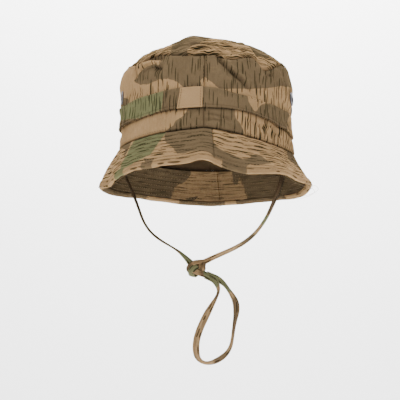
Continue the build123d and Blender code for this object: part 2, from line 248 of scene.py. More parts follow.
right_bulge = line_curve(
    (-8, 0), (0, 0), (12, -1), (23, -1.4), (33, -0.2), (41, 1.1), (50, 1.6), (58, 2.6), (65, 3.6),
    (73, 3.2), (79, 1))
left_bulge = line_curve(
    (-8, 0), (0, 0.6), (11, -1.8), (23, -3.2), (33, -3.2), (39, -2.4), (45, -1), (50, -0.8), (58, 0.4),
    (69, -0.4), (81, -1.4))
dome_rise = line_curve(
    (-84, -10), (-76, -7.5), (-68, -3.4), (-57, -2.7), (-50, -3.5), (-44, -3), (-36, -2.6), (-30, -2),
    (-21, 0.9), (-14, 1.6), (-4, 0.6), (7, -0.6), (18, -1.3), (30, -1.6), (38, -0.8), (49, -0.8),
    (60, -1.3), (66, -1.6), (72, -3.2), (84, -7))


def half_sizes(z):
    """Half width and half length of the crown's wall at a height."""
    low = np.clip(z / WALL_BREAK, -1, 1)
    high = np.clip((z - WALL_BREAK) / (TOP_SEAM - WALL_BREAK), 0, 2)
    return CROWN_HALF_WIDTH - 1.5 * low - 3 * high, CROWN_HALF_LENGTH - 2.5 * low - 5.5 * high


def square_out(angle):
    """Direction square to the crown's oval, seen from above."""
    t = np.radians(angle)
    return unit(np.stack([np.sin(t) / CROWN_HALF_WIDTH, -np.cos(t) / CROWN_HALF_LENGTH, 0 * t], -1))


def outward(angle, rise):
    """Direction square to the crown seen from above, tipped up by rise."""
    t = np.radians(angle)
    return unit(square_out(angle) + np.stack([0 * t, 0 * t, rise + 0 * t], -1))


def wall(angle, z):
    """Point on the crown's wall, before its folds."""
    t = np.radians(angle)
    half_width, half_length = half_sizes(z)
    bulge = near(angle, -90, 50) * right_bulge(z) + near(angle, 88, 50) * left_bulge(z)
    bulge = bulge - 2.4 * near(angle, 90, 12) * bell(z - VENT_HEIGHT, 9)
    for middle, _ in VENTS:
        away = np.hypot(turn_from(angle, middle) * ANGLE_MM, z - VENT_HEIGHT)
        bulge = bulge * smooth(away, 7.4, 12.5)
    return np.stack([(half_width + bulge) * np.sin(t), -(half_length + bulge) * np.cos(t), z + 0 * t], -1)


def dome(angle, share):
    """Point on the top panel, before its folds. The share runs from the middle to the top seam."""
    edge = top_height(angle)
    x, y = np.moveaxis(wall(angle, edge), -1, 0)[:2] * share
    cap = DOME_FOOT + DOME_RISE * np.sqrt(np.maximum(1 - 0.8775 * share**2, 0))
    full = 2.4 * near(angle, 180, 110) * smooth(share, 0, 0.5) * (1 - share**8)
    z = cap + (edge - TOP_SEAM) * share**3 + dome_rise(x) * (1 - share**16) + full
    return np.stack([x, y, z], -1)


def brim(angle, share):
    """Point on the brim's upper face, before its waves. The share runs from the seam to the edge."""
    start = wall(angle, seam_height(angle))
    out = square_out(angle)
    slope = np.radians(brim_slope(angle))[..., None]
    down = np.array([0, 0, -1.0])
    along = out * np.cos(slope) + down * np.sin(slope)
    across = out * np.sin(slope) - down * np.cos(slope)
    share = np.asarray(share, float)[..., None]
    bend = brim_bend(angle)[..., None]
    curl = brim_curl(angle)[..., None] * np.clip((share - 0.45) / 0.55, 0, 1) ** 2
    width = brim_width(angle)[..., None]
    return start + width * share * along + (4 * bend * share * (1 - share) - curl) * across


# Folds and dents: depth, width, surface and the line they follow. Wall lines hold angles and
# heights, top lines hold places left to right and front to back.
FOLDS = (
    (-3.8, 1.8, "wall", ((7.4, 75), (10.2, 67.2), (16.8, 57), (23.5, 49.8), (31.5, 38))),
    (1.6, 3.2, "wall", ((11.5, 71), (15.5, 63), (21.5, 56.5), (28.5, 48.5))),
    (1.0, 4.0, "wall", ((3, 66), (9, 57), (17, 48), (24, 42))),
    (2.2, 2.4, "wall", ((-50, 68), (-47, 73), (-40, 72), (-33.5, 69), (-28, 66.5))),
    (-2.4, 2.6, "wall", ((-46, 76.5), (-36, 75), (-28, 73))),
    (-2.6, 3.0, "wall", ((-37, 64.5), (-31.9, 62), (-27.5, 63.5))),
    (-2.2, 1.3, "wall", ((-49, 61), (-48, 67), (-43, 70), (-36, 69), (-30, 67))),
    (-1.9, 1.2, "wall", ((-52, 60), (-51, 68), (-46, 74), (-38, 74))),
    (-1.8, 1.2, "wall", ((-45, 62), (-41, 65.5), (-35, 65), (-30, 62))),
    (2.0, 3.4, "wall", ((-23.5, 76), (-25.4, 66), (-27, 56), (-30, 50))),
    (1.4, 2.2, "wall", ((-52.5, 76), (-51, 68), (-48.5, 60))),
    (-1.4, 2.4, "wall", ((-56, 74), (-54.5, 66), (-51, 58))),
    (-1.2, 3.0, "wall", ((-62, 47), (-52, 43), (-40, 42))),
    (-1.6, 3.4, "wall", ((-96, 12), (-86, 11), (-74, 14), (-60, 9))),
    (1.5, 4.0, "wall", ((-95, 21), (-82, 20), (-70, 22))),
    (-1.7, 1.7, "wall", ((0.8, 14), (6, 13.6), (12, 11.5), (19, 7.5))),
    (1.0, 1.6, "wall", ((0.8, 11.2), (7, 11), (13, 8.8), (18, 5))),
    (-1.4, 1.5, "wall", ((1, 8.4), (7, 8.2), (12, 6.6))),
    (-1.0, 1.8, "wall", ((-14, 12), (-8, 14.5), (-1, 16))),
    (-1.3, 1.7, "wall", ((26, 12), (34, 8), (44, 4.5))),
    (-1.2, 1.6, "wall", ((44, 12), (50, 7), (57, 2))),
    (1.1, 1.8, "wall", ((38, 11), (46, 6), (54, 0))),
    (-1.8, 2.2, "wall", ((40, 64), (44, 61), (50, 62))),
    (1.6, 3.0, "wall", ((31, 76), (35, 70), (39, 62), (41, 54))),
    (1.4, 3.0, "wall", ((54, 71), (57, 62), (56, 52))),
    (-1.0, 3.0, "wall", ((62, 72), (66, 60), (64, 50))),
    (-1.0, 2.5, "wall", ((48, 12), (56, 3), (66, -2))),
    (1.0, 3.0, "wall", ((56, 14), (64, 6), (76, 1))),
    (-1.3, 5.0, "wall", ((128, 70), (138, 55), (136, 42))),
    (1.4, 6.0, "wall", ((160, 60), (178, 66), (-164, 58))),
    (-1.6, 5.0, "wall", ((-150, 72), (-142, 58), (-130, 52))),
    (-1.2, 4.0, "wall", ((150, 14), (166, 8), (-178, 12))),
    (1.2, 4.0, "wall", ((-140, 16), (-128, 8), (-116, 14))),
    (-0.4, 5.0, "top", ((-30, 24), (-30, -10), (-30, -60), (-33, -86))),
    (-0.5, 4.5, "top", ((-40, 20), (-41, -12), (-39, -56), (-38, -82))),
    (1.1, 4.5, "top", ((-62, -48), (-54, -38), (-46, -34))),
    (-1.6, 3.6, "top", ((-60, -58), (-50, -52), (-44, -52))),
    (1.5, 2.6, "top", ((-20, -91), (-14, -85), (-6, -84), (4, -86))),
    (-1.4, 2.4, "top", ((-20, -84), (-12, -79), (-4, -80), (6, -83))),
    (1.3, 2.6, "top", ((0, -78), (8, -76), (16, -79), (24, -83), (32, -80))),
    (-1.5, 2.4, "top", ((2, -90), (9, -86), (15, -87.5), (22, -89))),
    (1.2, 3.0, "top", ((10, -66), (20, -68), (30, -72), (38, -68))),
    (-1.2, 2.6, "top", ((14, -73), (24, -76), (34, -75))),
    (2.2, 3.0, "top", ((33, -50), (41, -58), (48, -66), (53, -74))),
    (-1.8, 3.4, "top", ((40, -44), (50, -54), (58, -66), (62, -68))),
    (-1.8, 2.6, "top", ((30, -66), (38, -72), (44, -79))),
    (1.2, 4.0, "top", ((58, -40), (66, -46), (70, -50))),
    (-1.5, 7.0, "top", ((-8, 10), (6, 30), (26, 44))),
    (1.6, 8.0, "top", ((-50, 40), (-30, 56), (-6, 62))),
    (-1.8, 6.0, "top", ((36, 20), (44, 48), (40, 66))),
)
WAVES = np.random.default_rng(11)
WAVE_DIRECTIONS = WAVES.normal(size=(26, 3))
WAVE_DIRECTIONS /= np.linalg.norm(WAVE_DIRECTIONS, axis=1)[:, None]
WAVE_LENGTHS = np.concatenate([WAVES.uniform(24, 50, 14), WAVES.uniform(9, 15, 12)])
WAVE_STARTS = WAVES.uniform(0, 2 * math.pi, 26)


def fold_lines():
    """The folds' depths, widths and lines, laid on the hat's surface."""
    lines = []
    for depth, width, surface, places in FOLDS:
        first, second = np.array(places, float).T
        if surface == "wall":
            line = wall(first, second)
        else:
            angle = np.degrees(np.arctan2(first, -second))
            edge = wall(angle, top_height(angle))
            line = dome(angle, np.hypot(first, second) / np.hypot(edge[:, 0], edge[:, 1]))
        lines.append((depth, width, line))
    return lines


FOLD_LINES = fold_lines()


def fold_push(points):
    """How far the folds and the cloth's small waves push the surface out, at points on it."""
    push = np.zeros(len(points))
    for depth, width, line in FOLD_LINES:
        best = np.full(len(points), 1e9)
        fade = np.zeros(len(points))
        runs = len(line) - 1
        for i in range(runs):
            run = line[i + 1] - line[i]
            along = np.clip((points - line[i]) @ run / (run @ run), 0, 1)
            away = np.linalg.norm(points - line[i] - along[:, None] * run, axis=1)
            nearer = away < best
            share = (i + along) / runs
            best = np.where(nearer, away, best)
            fade = np.where(nearer, smooth(share, -0.08, 0.22) * smooth(1 - share, -0.08, 0.22), fade)
        push += depth * fade * bell(best, width)
    for direction, length, start in zip(WAVE_DIRECTIONS, WAVE_LENGTHS, WAVE_STARTS):
        size = 0.15 if length > 20 else 0.08
        push += size * np.sin(points @ direction * 2 * math.pi / length + start)
    return push


def ripple(angle, pitch, seed):
    """Uneven puckers round the hat, about pitch degrees apart."""
    t = np.radians(angle)
    count = round(360 / pitch)
    wave = np.sin(count * t + seed) + 0.7 * np.sin((count * 0.62 // 1) * t + 2 * seed)
    return wave * (0.6 + 0.4 * np.sin(5 * t + seed)) / 1.7


def crown_wall(angle, height, out=0.0):
    """Point on the crown's wall with its folds, moved out by a distance."""
    base = wall(angle, height)
    top, seam = top_height(angle), seam_height(angle)
    at_top = smooth(height, top - 16, top)
    at_seam = 1 - smooth(height, seam, seam + 8)
    side = unit(outward(angle, 0.03) * (1 - at_top - at_seam)[:, None]
                + outward(angle, 0.62) * at_top[:, None] + outward(angle, 0.24) * at_seam[:, None])
    vent = np.maximum(near(angle, 90, 30), near(angle, -90, 30)) * bell(height - VENT_HEIGHT, 12)
    push = fold_push(base) * (1 - at_seam) * (1 - 0.9 * smooth(vent, 0.1, 0.6))
    push += 0.35 * ripple(angle, 5.2, 1.3) * np.exp(-((top - height) / 6))
    push += 0.22 * ripple(angle, 4.4, 4.1) * np.exp(-((height - seam) / 6))
    push -= 0.9 * bell(top - height, 0.9) + bell(height - seam, 1.0)
    for middle in (0, 180):
        away = np.abs(turn_from(angle, middle)) * ANGLE_MM
        push += -0.8 * bell(away, 0.7) + 0.3 * bell(away - 2.4, 1.6)
    return base + side * (push + out)[:, None]


def crown_top(angle, share, out=0.0):
    """Point on the top panel with its folds, moved out by a distance."""
    base = dome(angle, share)
    rim = smooth(share, 0.72, 1)
    step = 0.004
    inner = dome(angle, np.clip(share - step, 0, 1))
    outer = dome(angle, np.clip(share - step, 0, 1) + 2 * step)
    left, right = (dome(angle + turn, np.maximum(share, 0.02)) for turn in (-0.5, 0.5))
    steep = unit(np.cross(right - left, outer - inner))
    steep *= np.sign(steep[:, 2])[:, None]
    side = unit(steep * (1 - rim)[:, None] + outward(angle, 0.62) * rim[:, None])
    away = (1 - share) * TOP_REACH
    push = fold_push(base) + 0.35 * ripple(angle, 5.2, 1.3) * np.exp(-(away / 9))
    push += 0.9 * bell(away - 2.6, 1.5) - 0.9 * bell(away, 0.9)
    return base + side * (push + out)[:, None]


def brim_side(angle):
    """Direction square to the brim's upper face."""
    slope = np.radians(brim_slope(angle))
    side = outward(angle, 0) * np.sin(slope)[:, None]
    side[:, 2] += np.cos(slope)
    return side


def nearest_row(away):
    """The brim's row of stitching nearest to a distance from the seam, how far it is, and whether
    rows are sewn there."""
    row = away / ROW_GAP
    return np.round(row), np.abs(row - np.round(row)) * ROW_GAP, (away > 3) & (away < 39.5)


def brim_face(angle, share, out=0.0):
    """Point on the brim, moved off its upper face. The share runs from the seam to the edge."""
    base = brim(angle, share)
    at_seam = 1 - smooth(share, 0, 0.22)
    side = unit(brim_side(angle) * (1 - at_seam)[:, None] + outward(angle, 0.24) * at_seam[:, None])
    t = np.radians(angle)
    push = 0.25 * np.sin(t * 9 + 1) * share + 0.3 * np.sin(t * 23 + 2) * share**2
    away = share * brim_width(angle)
    push += 0.22 * ripple(angle, 4.4, 4.1) * np.exp(-(away / 6)) - bell(away, 1.0)
    row, from_row, on_rows = nearest_row(away)
    push -= np.where(on_rows, 0.3 * bell(from_row, 0.9), 0)
    push += 0.14 * ripple(angle + 4 * row, 2.6, 2.2) * on_rows
    for middle in BRIM_SEAMS:
        beside = np.abs(turn_from(angle, middle)) * ANGLE_MM * 1.15
        push -= 0.7 * bell(beside, 0.7)
    return base + side * (push + out)[:, None]


# ---------------------------------------------------------------- the print, in patches

# Outlines of the print's patches: angles and heights on the crown and band, angles and
# distances from the seam on the brim, and places from left to right and front to back on top.
# Strokes of rain are thin in the calm patches and close in the dense ones.
BROWN_PATCHES = {
    "wall": (
        ((-54.8, 57), (-50.5, 60), (-47.5, 65), (-42, 68.5), (-36, 68.5), (-31.5, 66.5), (-30, 69),
         (-31.5, 73), (-38, 73.5), (-44, 72.5), (-48, 75), (-50, 86), (-40, 92), (40, 92), (104, 92),
         (108, 76), (96, 64), (84, 63), (74.8, 60), (57.5, 54.2), (46.8, 48.4), (39, 45.2), (29.8, 42.2),
         (19.6, 40.4), (8.8, 38.2), (8.4, 40.2), (4.1, 45.6), (1.5, 48.6), (-0.1, 50.8), (-2.5, 46.2),
         (-1.1, 35.2), (-13.6, 35.8), (-13.8, 41.4), (-16.2, 44.8), (-20.2, 48.4), (-23.9, 50.4),
         (-29.5, 51.2), (-34.9, 49.6), (-40.4, 48.6), (-46.6, 50.2)),
        ((-100, 50), (-86, 52), (-70, 46), (-62, 41.6), (-60, 35), (-84, 33), (-104, 30)),
        ((-10.1, 21.8), (-10.5, 16.4), (-13.5, 11.8), (-17.6, 7.8), (-19.2, 3.6), (-22.6, 0.4),
         (-27.9, -3.2), (-34.2, -12), (-2.1, -12), (27, -14), (26, -6.4), (25, 2), (21.9, 8),
         (19.6, 11.6), (19.1, 24), (2, 26)),
        ((112, 40), (126, 52), (146, 44), (160, 24), (148, 6), (128, 12), (118, 26)),
        ((-176, 86), (-150, 90), (-132, 74), (-140, 58), (-158, 52), (-172, 62)),
        ((-150, 30), (-132, 38), (-116, 22), (-124, 2), (-146, -6), (-160, 8)),
        ((150, 90), (170, 86), (176, 70), (160, 62), (146, 72)),
        ((-182, 24), (-170, 34), (-160, 20), (-172, 6)),
    ),
    "band": (
        ((-106, 24), (-77.4, 24.6), (-46.9, 16), (-34.1, 17.4), (-27, 18.6), (-27.4, 8), (-60, 4),
         (-106, 10)),
        ((-25.6, 44), (-27, 18.6), (-27.4, 8), (-14.6, 8), (31.9, 4), (32, 20.2), (28.1, 28.6), (25.8, 44)),
        ((32.4, 19), (35.9, 25.4), (38, 28.8), (43.6, 31.2), (50.1, 31), (70.6, 33.5), (72, 29.4),
         (66, 20.2), (62, 12.6), (60, 2), (32, 2)),
        ((104, 46), (126, 46), (136, 30), (120, 14), (106, 24)),
        ((164, 46), (190, 46), (198, 26), (180, 14), (160, 20)),
        ((-150, 46), (-128, 46), (-122, 30), (-140, 22), (-156, 30)),
    ),
    "brim": (
        ((-30.8, 33.1), (-23.4, 37.1), (-24.9, 38.5), (-23, 43.9), (-26, 45), (-29.2, 38)),
        ((-24.2, 4), (-21.6, 14.6), (-17.6, 20.9), (-13.9, 28.8), (-12.2, 34.2), (-8.8, 34.6), (-5, 34),
         (-1.1, 35.1), (1.8, 36), (4, 36.9), (5.4, 40.5), (8.9, 41), (9.1, 50), (22, 50), (22.4, 38.7),
         (24.2, 35.8), (30.6, 35.3), (36, 32.6), (35.2, 30.8), (33.6, 27.9), (32.1, 24.1), (30.1, 22.5),
         (27.5, 24.3), (24.6, 28.8), (21, 31.3), (17.4, 29.5), (13.8, 27.7), (9.9, 27), (6.8, 23.9),
         (5.4, 18), (5.4, -4), (-22, -4)),
        ((-100, -4), (-54, -4), (-52.5, 9), (-52, 14), (-53, 19), (-54.5, 18), (-57, 9), (-64, 5),
         (-78, 2), (-98, 5)),
        ((92, 50), (100, 24), (116, 16), (134, 26), (130, 50)),
        ((150, 20), (172, 30), (190, 22), (184, 2), (158, -4)),
        ((-150, 50), (-140, 28), (-120, 22), (-108, 34), (-112, 50)),
        ((60, 12), (78, 20), (94, 12), (84, -4), (66, -4)),
    ),
    "top": (
        ((-30, 34), (-38, 8), (-36, -30), (-33, -66), (-34, -94), (-17, -95), (-16.6, -88.7), (-14, -85.9),
         (-6.5, -79), (-1, -70), (6, -50), (12, -20), (10, 16), (-8, 40)),
        ((24, -58), (32, -62), (42, -64), (50, -60), (60, -52), (66, -30), (58, -4), (44, 6), (36, -20),
         (28, -38)),
        ((-84, 10), (-66, 0), (-52, 16), (-56, 44), (-72, 52)),
        ((6, 92), (30, 84), (44, 60), (26, 48), (4, 62)),
    ),
}
GREEN_PATCHES = {
    "wall": (
        ((126, 86), (142, 80), (148, 66), (138, 54), (124, 62), (116, 78)),
        ((-118, 60), (-104, 66), (-96, 76), (-104, 88), (-124, 84), (-130, 70)),
        ((168, 46), (186, 54), (200, 44), (190, 28), (172, 32)),
    ),
    "band": (
        ((-102, 46), (-59.4, 44), (-25.6, 44), (-27, 18.6), (-34.1, 17.4), (-46.9, 16), (-77.4, 24.6),
         (-100, 25)),
        ((138, 46), (162, 46), (156, 24), (146, 14), (134, 22)),
    ),
    "brim": (
        ((-24, 2), (-26.1, 17.6), (-26.5, 24.1), (-27.8, 29.9), (-30.9, 32.4), (-35, 34.6), (-40.1, 35.6),
         (-45, 37), (-50.8, 35), (-53, 28.1), (-52.5, 23.9), (-50.5, 18), (-51, 8), (-50, -4), (-24, -4)),
        ((130, 50), (136, 30), (150, 24), (162, 36), (156, 50)),
        ((-178, 50), (-172, 30), (-160, 18), (-150, 26), (-154, 50)),
    ),
    "top": (
        ((-70, -6), (-56, -16), (-46, 0), (-52, 20), (-66, 18)),
        ((44, 50), (62, 40), (70, 16), (58, 8), (46, 24)),
    ),
}
CALM_PATCHES = {
    "wall": (
        ((-90, -8), (-90, 16), (-60, 15), (-28, 17), (-17, 14), (-22, 4), (-34, -8)),
        ((-100, 92), (-60, 80), (-52, 62), (-58, 46), (-80, 40), (-100, 44)),
    ),
}
DENSE_PATCHES = {
    "wall": (
        ((22, -12), (18, 6), (20, 22), (60, 24), (110, 24), (110, -12)),
        ((34, 30), (36, 60), (90, 68), (104, 30)),
        ((-56, 54), (-56, 80), (-28, 80), (-28, 54)),
    ),
    "band": (
        ((32, 0), (32, 50), (80, 50), (80, 0)),
    ),
    "brim": (
        ((4, 0), (4, 26), (30, 40), (60, 50), (100, 50), (100, 0)),
        ((-60, 10), (-52, 50), (-100, 50), (-100, 10)),
    ),
    "top": (
        ((-90, -70), (-40, -95), (60, -90), (84, -40), (84, 20), (10, 30), (-90, 10)),
    ),
}
PATCHES = {"brown": BROWN_PATCHES, "green": GREEN_PATCHES, "calm": CALM_PATCHES, "dense": DENSE_PATCHES}


def depth_inside(x, y, outline, scale):
    """How far points lie inside an outline, in millimetres, and negative outside."""
    corners = np.array(outline, float) * (scale, 1)
    best = np.full(len(x), 1e9)
    inside = np.zeros(len(x), bool)
    for (ax, ay), (bx, by) in zip(corners, np.roll(corners, -1, axis=0)):
        length = max((bx - ax) ** 2 + (by - ay) ** 2, 1e-9)
        along = np.clip(((x - ax) * (bx - ax) + (y - ay) * (by - ay)) / length, 0, 1)
        best = np.minimum(best, np.hypot(x - ax - along * (bx - ax), y - ay - along * (by - ay)))
        crosses = (ay > y) != (by > y)
        inside ^= crosses & (x < (bx - ax) * (y - ay) / (by - ay + 1e-12) + ax)
    return np.where(inside, best, -best)


def print_marks(zone, x, y):
    """How deep each point lies in the print's patches, and how dense its strokes are."""
    turns = (0,) if zone == "top" else (-360, 0, 360)
    scale = 1 if zone == "top" else ANGLE_MM
    marks = {}
    for mark, patches in PATCHES.items():
        depth = np.full(len(x), -30.0)
        for outline in patches.get(zone, ()):
            for turn in turns:
                depth = np.maximum(depth, depth_inside((x + turn) * scale, y, outline, scale))
        marks[mark] = depth
    marks["dense"] = smooth(marks["dense"], -2, 2)
    return marks


# ---------------------------------------------------------------- mesh helpers


def cloth_mesh(name, columns, rows, spread, place, uv, marks=None, closed=False, cut=None):
    """A grid moved onto a surface.

    Spread turns the grid's two shares, from 0 to 1, into where each point lies on the surface, and
    place, uv and marks take what it gives.
    """
    bm = bmesh.new()
    bmesh.ops.create_grid(bm, x_segments=columns, y_segments=rows, size=0.5)
    shares = np.array([vert.co[:2] for vert in bm.verts]) + 0.5
    lies = spread(*np.clip(shares, 0, 1).T)
    points = place(*lies) * MM
    flat = uv(*lies)
    uv_layer = bm.loops.layers.uv.new("cloth")
    layers = {}
    for key, values in (marks(*lies) if marks else {}).items():
        layers[bm.verts.layers.float.new(key)] = values
    for i, vert in enumerate(bm.verts):
        vert.co = points[i]
        for layer, values in layers.items():
            vert[layer] = values[i]
    bm.verts.index_update()
    for face in bm.faces:
        face.smooth = True
        for loop in face.loops:
            loop[uv_layer].uv = flat[loop.vert.index]
    if cut:
        cut(bm)
    if closed:
        bmesh.ops.remove_doubles(bm, verts=bm.verts, dist=1e-6)
        bmesh.ops.recalc_face_normals(bm, faces=bm.faces)
    else:
        bm.normal_update()
        sample = list(bm.faces)[:: max(len(bm.faces) // 400, 1)]
        facing = sum(face.normal.dot(face.calc_center_median() - Vector((0, 0, 0.02))) for face in sample)
        if facing < 0:
            bmesh.ops.reverse_faces(bm, faces=bm.faces)
    return object_from(bm, name)


def object_from(bm, name):
    """An object in the scene with the mesh that was built."""
    mesh = bpy.data.meshes.new(name)
    bm.to_mesh(mesh)
    bm.free()
    piece = bpy.data.objects.new(name, mesh)
    bpy.context.scene.collection.objects.link(piece)
    return piece


def thicken(piece, thickness, reverse=False):
    """Gives a sheet its thickness towards the inside of the hat."""
    solid = piece.modifiers.new("thickness", "SOLIDIFY")
    solid.thickness = thickness * MM
    solid.offset = -1
    solid.material_offset = 1 if reverse else 0
    solid.material_offset_rim = 0


def finish_piece(piece, body, slot, finishes, *nodes):
    """Gives a piece its finishes by name and its body, and hides the nodes that it stands for. Its slot is
    not used.
    """
    for name in finishes:
        piece.data.materials.append(make_finishes()[name])
    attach(piece, body)
    if nodes:
        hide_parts(*nodes)
    return piece


def section(*corners, step=1.5):
    """Points round a closed section, no further apart than a step, as heights and distances out."""
    points = []
    for (a, b), (c, d) in zip(corners, corners[1:] + corners[:1]):
        count = max(1, math.ceil(math.hypot(c - a, d - b) / step))
        points += [(a + (c - a) * i / count, b + (d - b) * i / count) for i in range(count)]
    return np.array(points)


def section_at(points, share):
    """Height and distance out at a share of the way round a closed section."""
    at = np.round(share * len(points), 6)
    looped = np.vstack([points, points[:1]])
    return [np.interp(at, np.arange(len(points) + 1), looped[:, i]) for i in (0, 1)]


def ring(name, points, place, uv=None, marks=None, columns=420):
    """A closed ring round the hat.

    Place and marks take angles, and heights and distances out of its section, and uv takes angles
    and heights.
    """
    return cloth_mesh(
        name, columns, len(points),
        lambda first, second: (first * 360 - 180, *section_at(points, second)),
        place,
        lambda angle, height, out: (uv or flat_uv)(angle, height),
        marks, closed=True)


def flat_uv(angle, height):
    """The cloth's own places, in millimetres, round the crown."""
    return np.stack([angle * ANGLE_MM, height + 0 * angle], -1)


def sew(name, rows, body, length, thread):
    """Stitches along rows of points with the direction out of the cloth at each."""
    seed = bmesh.new()
    bmesh.ops.create_uvsphere(seed, u_segments=6, v_segments=4, radius=0.5)
    for face in seed.faces:
        face.smooth = True
    template = bpy.data.meshes.new("stitch")
    seed.to_mesh(template)
    seed.free()
    shape = np.array([vert.co for vert in template.vertices])
    bm = bmesh.new()
    for points, sides in rows:
        for start, end, side in zip(points, points[1:], sides):
            run = end - start
            pitch = np.linalg.norm(run)
            if pitch < 1e-6:
                continue
            along = run / pitch
            across = unit(np.cross(along, side))
            up = np.cross(across, along)
            moved = (start + end) / 2 + up * 0.06 + (shape[:, 2:] * length) * along
            moved = moved + (shape[:, :1] * thread) * across + (shape[:, 1:2] * (thread * 0.75)) * up
            template.vertices.foreach_set("co", (moved * MM).astype(np.float32).ravel())
            bm.from_mesh(template)
    bpy.data.meshes.remove(template)
    bmesh.ops.recalc_face_normals(bm, faces=bm.faces)
    return finish_piece(object_from(bm, name), body, "thread", ["thread"])


def even_row(place, start, end, pitch, side_of):
    """Points a pitch apart along a line on a surface, with the way out of the cloth at each."""
    fine = np.linspace(start, end, 1600)
    points = place(fine)
    travelled = distances_along(points)
    count = max(int(travelled[-1] / pitch), 2)
    at = np.interp(np.linspace(0, travelled[-1], count + 1), travelled, fine)
    return place(at), side_of(at)


# ---------------------------------------------------------------- finishes


class Value:
    """A number from a material's nodes, which adds and multiplies like one."""

    def __init__(self, tree, socket):
        self.tree = tree
        self.socket = socket

    def maths(self, operation, *others, clamp=False):
        """The result of a sum on this number and others."""
        node = self.tree.nodes.new("ShaderNodeMath")
        node.operation = operation
        node.use_clamp = clamp
        for place, item in zip(node.inputs, (self, *others)):
            join(self.tree, item, place)
        return Value(self.tree, node.outputs[0])

    def __add__(self, other):
        return self.maths("ADD", other)

    __radd__ = __add__

    def __mul__(self, other):
        return self.maths("MULTIPLY", other)

    __rmul__ = __mul__

    def __sub__(self, other):
        return self.maths("SUBTRACT", other)

    def __rsub__(self, other):
        return self * -1 + other

    def __truediv__(self, other):
        return self.maths("DIVIDE", other)

    def size(self):
        """The number without its sign."""
        return self.maths("ABSOLUTE")

    def floor(self):
        """The whole number at or under it."""
        return self.maths("FLOOR")

    def between(self, start, end):
        """0 at start, 1 at end, held in between."""
        return ((self - start) / (end - start)).maths("ADD", 0, clamp=True)


def join(tree, item, place):
    """Feeds a value, a link or a plain number to a node's socket."""
    if isinstance(item, Value):
        item = item.socket
    if isinstance(item, bpy.types.NodeSocket):
        tree.links.new(item, place)
    elif item is not None:
        place.default_value = item


class Finish:
    """One material under way: its nodes and its shader."""

    def __init__(self, name, roughness=0.9, metallic=0.0, specular=0.3):
        self.material = bpy.data.materials.new(name)
        self.material.use_nodes = True
        self.tree = self.material.node_tree
        self.shader = self.tree.nodes["Principled BSDF"]
        self.shader.inputs["Roughness"].default_value = roughness
        self.shader.inputs["Metallic"].default_value = metallic
        self.shader.inputs["Specular IOR Level"].default_value = specular

    def node(self, kind, settings=None, **sockets):
        """A node of a kind, with its settings first and then the values or links of its sockets."""
        node = self.tree.nodes.new(kind)
        for key, value in (settings or {}).items():
            setattr(node, key, value)
        for key, item in sockets.items():
            place = node.inputs[int(key[1:])] if key[1:].isdigit() else node.inputs[key.replace("_", " ")]
            join(self.tree, item, place)
        return node

    def number(self, kind, settings=None, **sockets):
        """A number from a node of a kind."""
        return Value(self.tree, self.node(kind, settings, **sockets).outputs[0])

    def attribute(self, name):
        """A number that the mesh holds at each point."""
        return Value(self.tree, self.node("ShaderNodeAttribute", {"attribute_name": name}).outputs["Fac"])

    def places(self):
        """The cloth's own UV map in millimetres, as a vector and two numbers."""
        flat = self.node("ShaderNodeUVMap", {"uv_map": "cloth"}).outputs[0]
        parts = self.node("ShaderNodeSeparateXYZ", Vector=flat)
        return flat, Value(self.tree, parts.outputs[0]), Value(self.tree, parts.outputs[1])

    def body_places(self):
        """Places in the piece's own frame."""
        return self.node("ShaderNodeTexCoord").outputs["Object"]

    def stretched(self, vector, *scale):
        """Places scaled along each axis, so that noise over them makes streaks."""
        return self.node("ShaderNodeMapping", None, Vector=vector, Scale=scale).outputs[0]

    def noise(self, vector, scale, detail=2.0, roughness=0.5, **more):
        """Soft noise from 0 to 1, about 0.5 in the middle."""
        sockets = {"Vector": vector, "Scale": scale, "Detail": detail, "Roughness": roughness, **more}
        return self.number("ShaderNodeTexNoise", None, **sockets)

    def grey(self, shade):
        """A grey of a number's lightness."""
        return self.node("ShaderNodeCombineColor", None, Red=shade, Green=shade, Blue=shade).outputs[0]

    def shaded(self, colour, shade):
        """A colour made lighter or darker by a number."""
        return self.blend(1.0, colour, self.grey(shade), "MULTIPLY")

    def painted_shading(self, shade, wear):
        """A shade made darker by painted shade in creases, by seams and in shadowed places, and lighter, by
        wear, where the cloth rubs.
        """
        return shade * (1 - self.attribute("crease") * 0.75) * (self.attribute("worn") * wear + 1)

    def blend(self, share, first, second, how="MIX"):
        """The first colour turning into the second as the share goes from 0 to 1."""
        settings = {"data_type": "RGBA", "blend_type": how}
        return self.node("ShaderNodeMix", settings, _0=share, _6=first, _7=second).outputs[2]

    def random(self, first, second, seed):
        """Three random numbers that stay the same over each cell."""
        cell = self.node("ShaderNodeCombineXYZ", None, X=first, Y=second, Z=float(seed)).outputs[0]
        noise = self.node("ShaderNodeTexWhiteNoise", {"noise_dimensions": "3D"}, Vector=cell)
        parts = self.node("ShaderNodeSeparateColor", None, Color=noise.outputs["Color"])
        return [Value(self.tree, out) for out in parts.outputs[:3]]

    def bump(self, height, distance, strength, over=None):
        """The normal of a surface raised by height, over another normal if one is given."""
        settings = {"Distance": distance * MM, "Strength": strength}
        return self.node("ShaderNodeBump", None, Height=height, Normal=over, **settings).outputs[0]

    def done(self, colour, normal=None, roughness=None):
        """The finished material."""
        join(self.tree, colour, self.shader.inputs["Base Color"])
        join(self.tree, normal, self.shader.inputs["Normal"])
        if roughness is not None:
            join(self.tree, roughness, self.shader.inputs["Roughness"])
        return self.material


def rgba(colour, lift=1.0):
    """A colour with its alpha, made lighter or darker by lift."""
    return (*[min(c * lift, 1) for c in colour], 1)


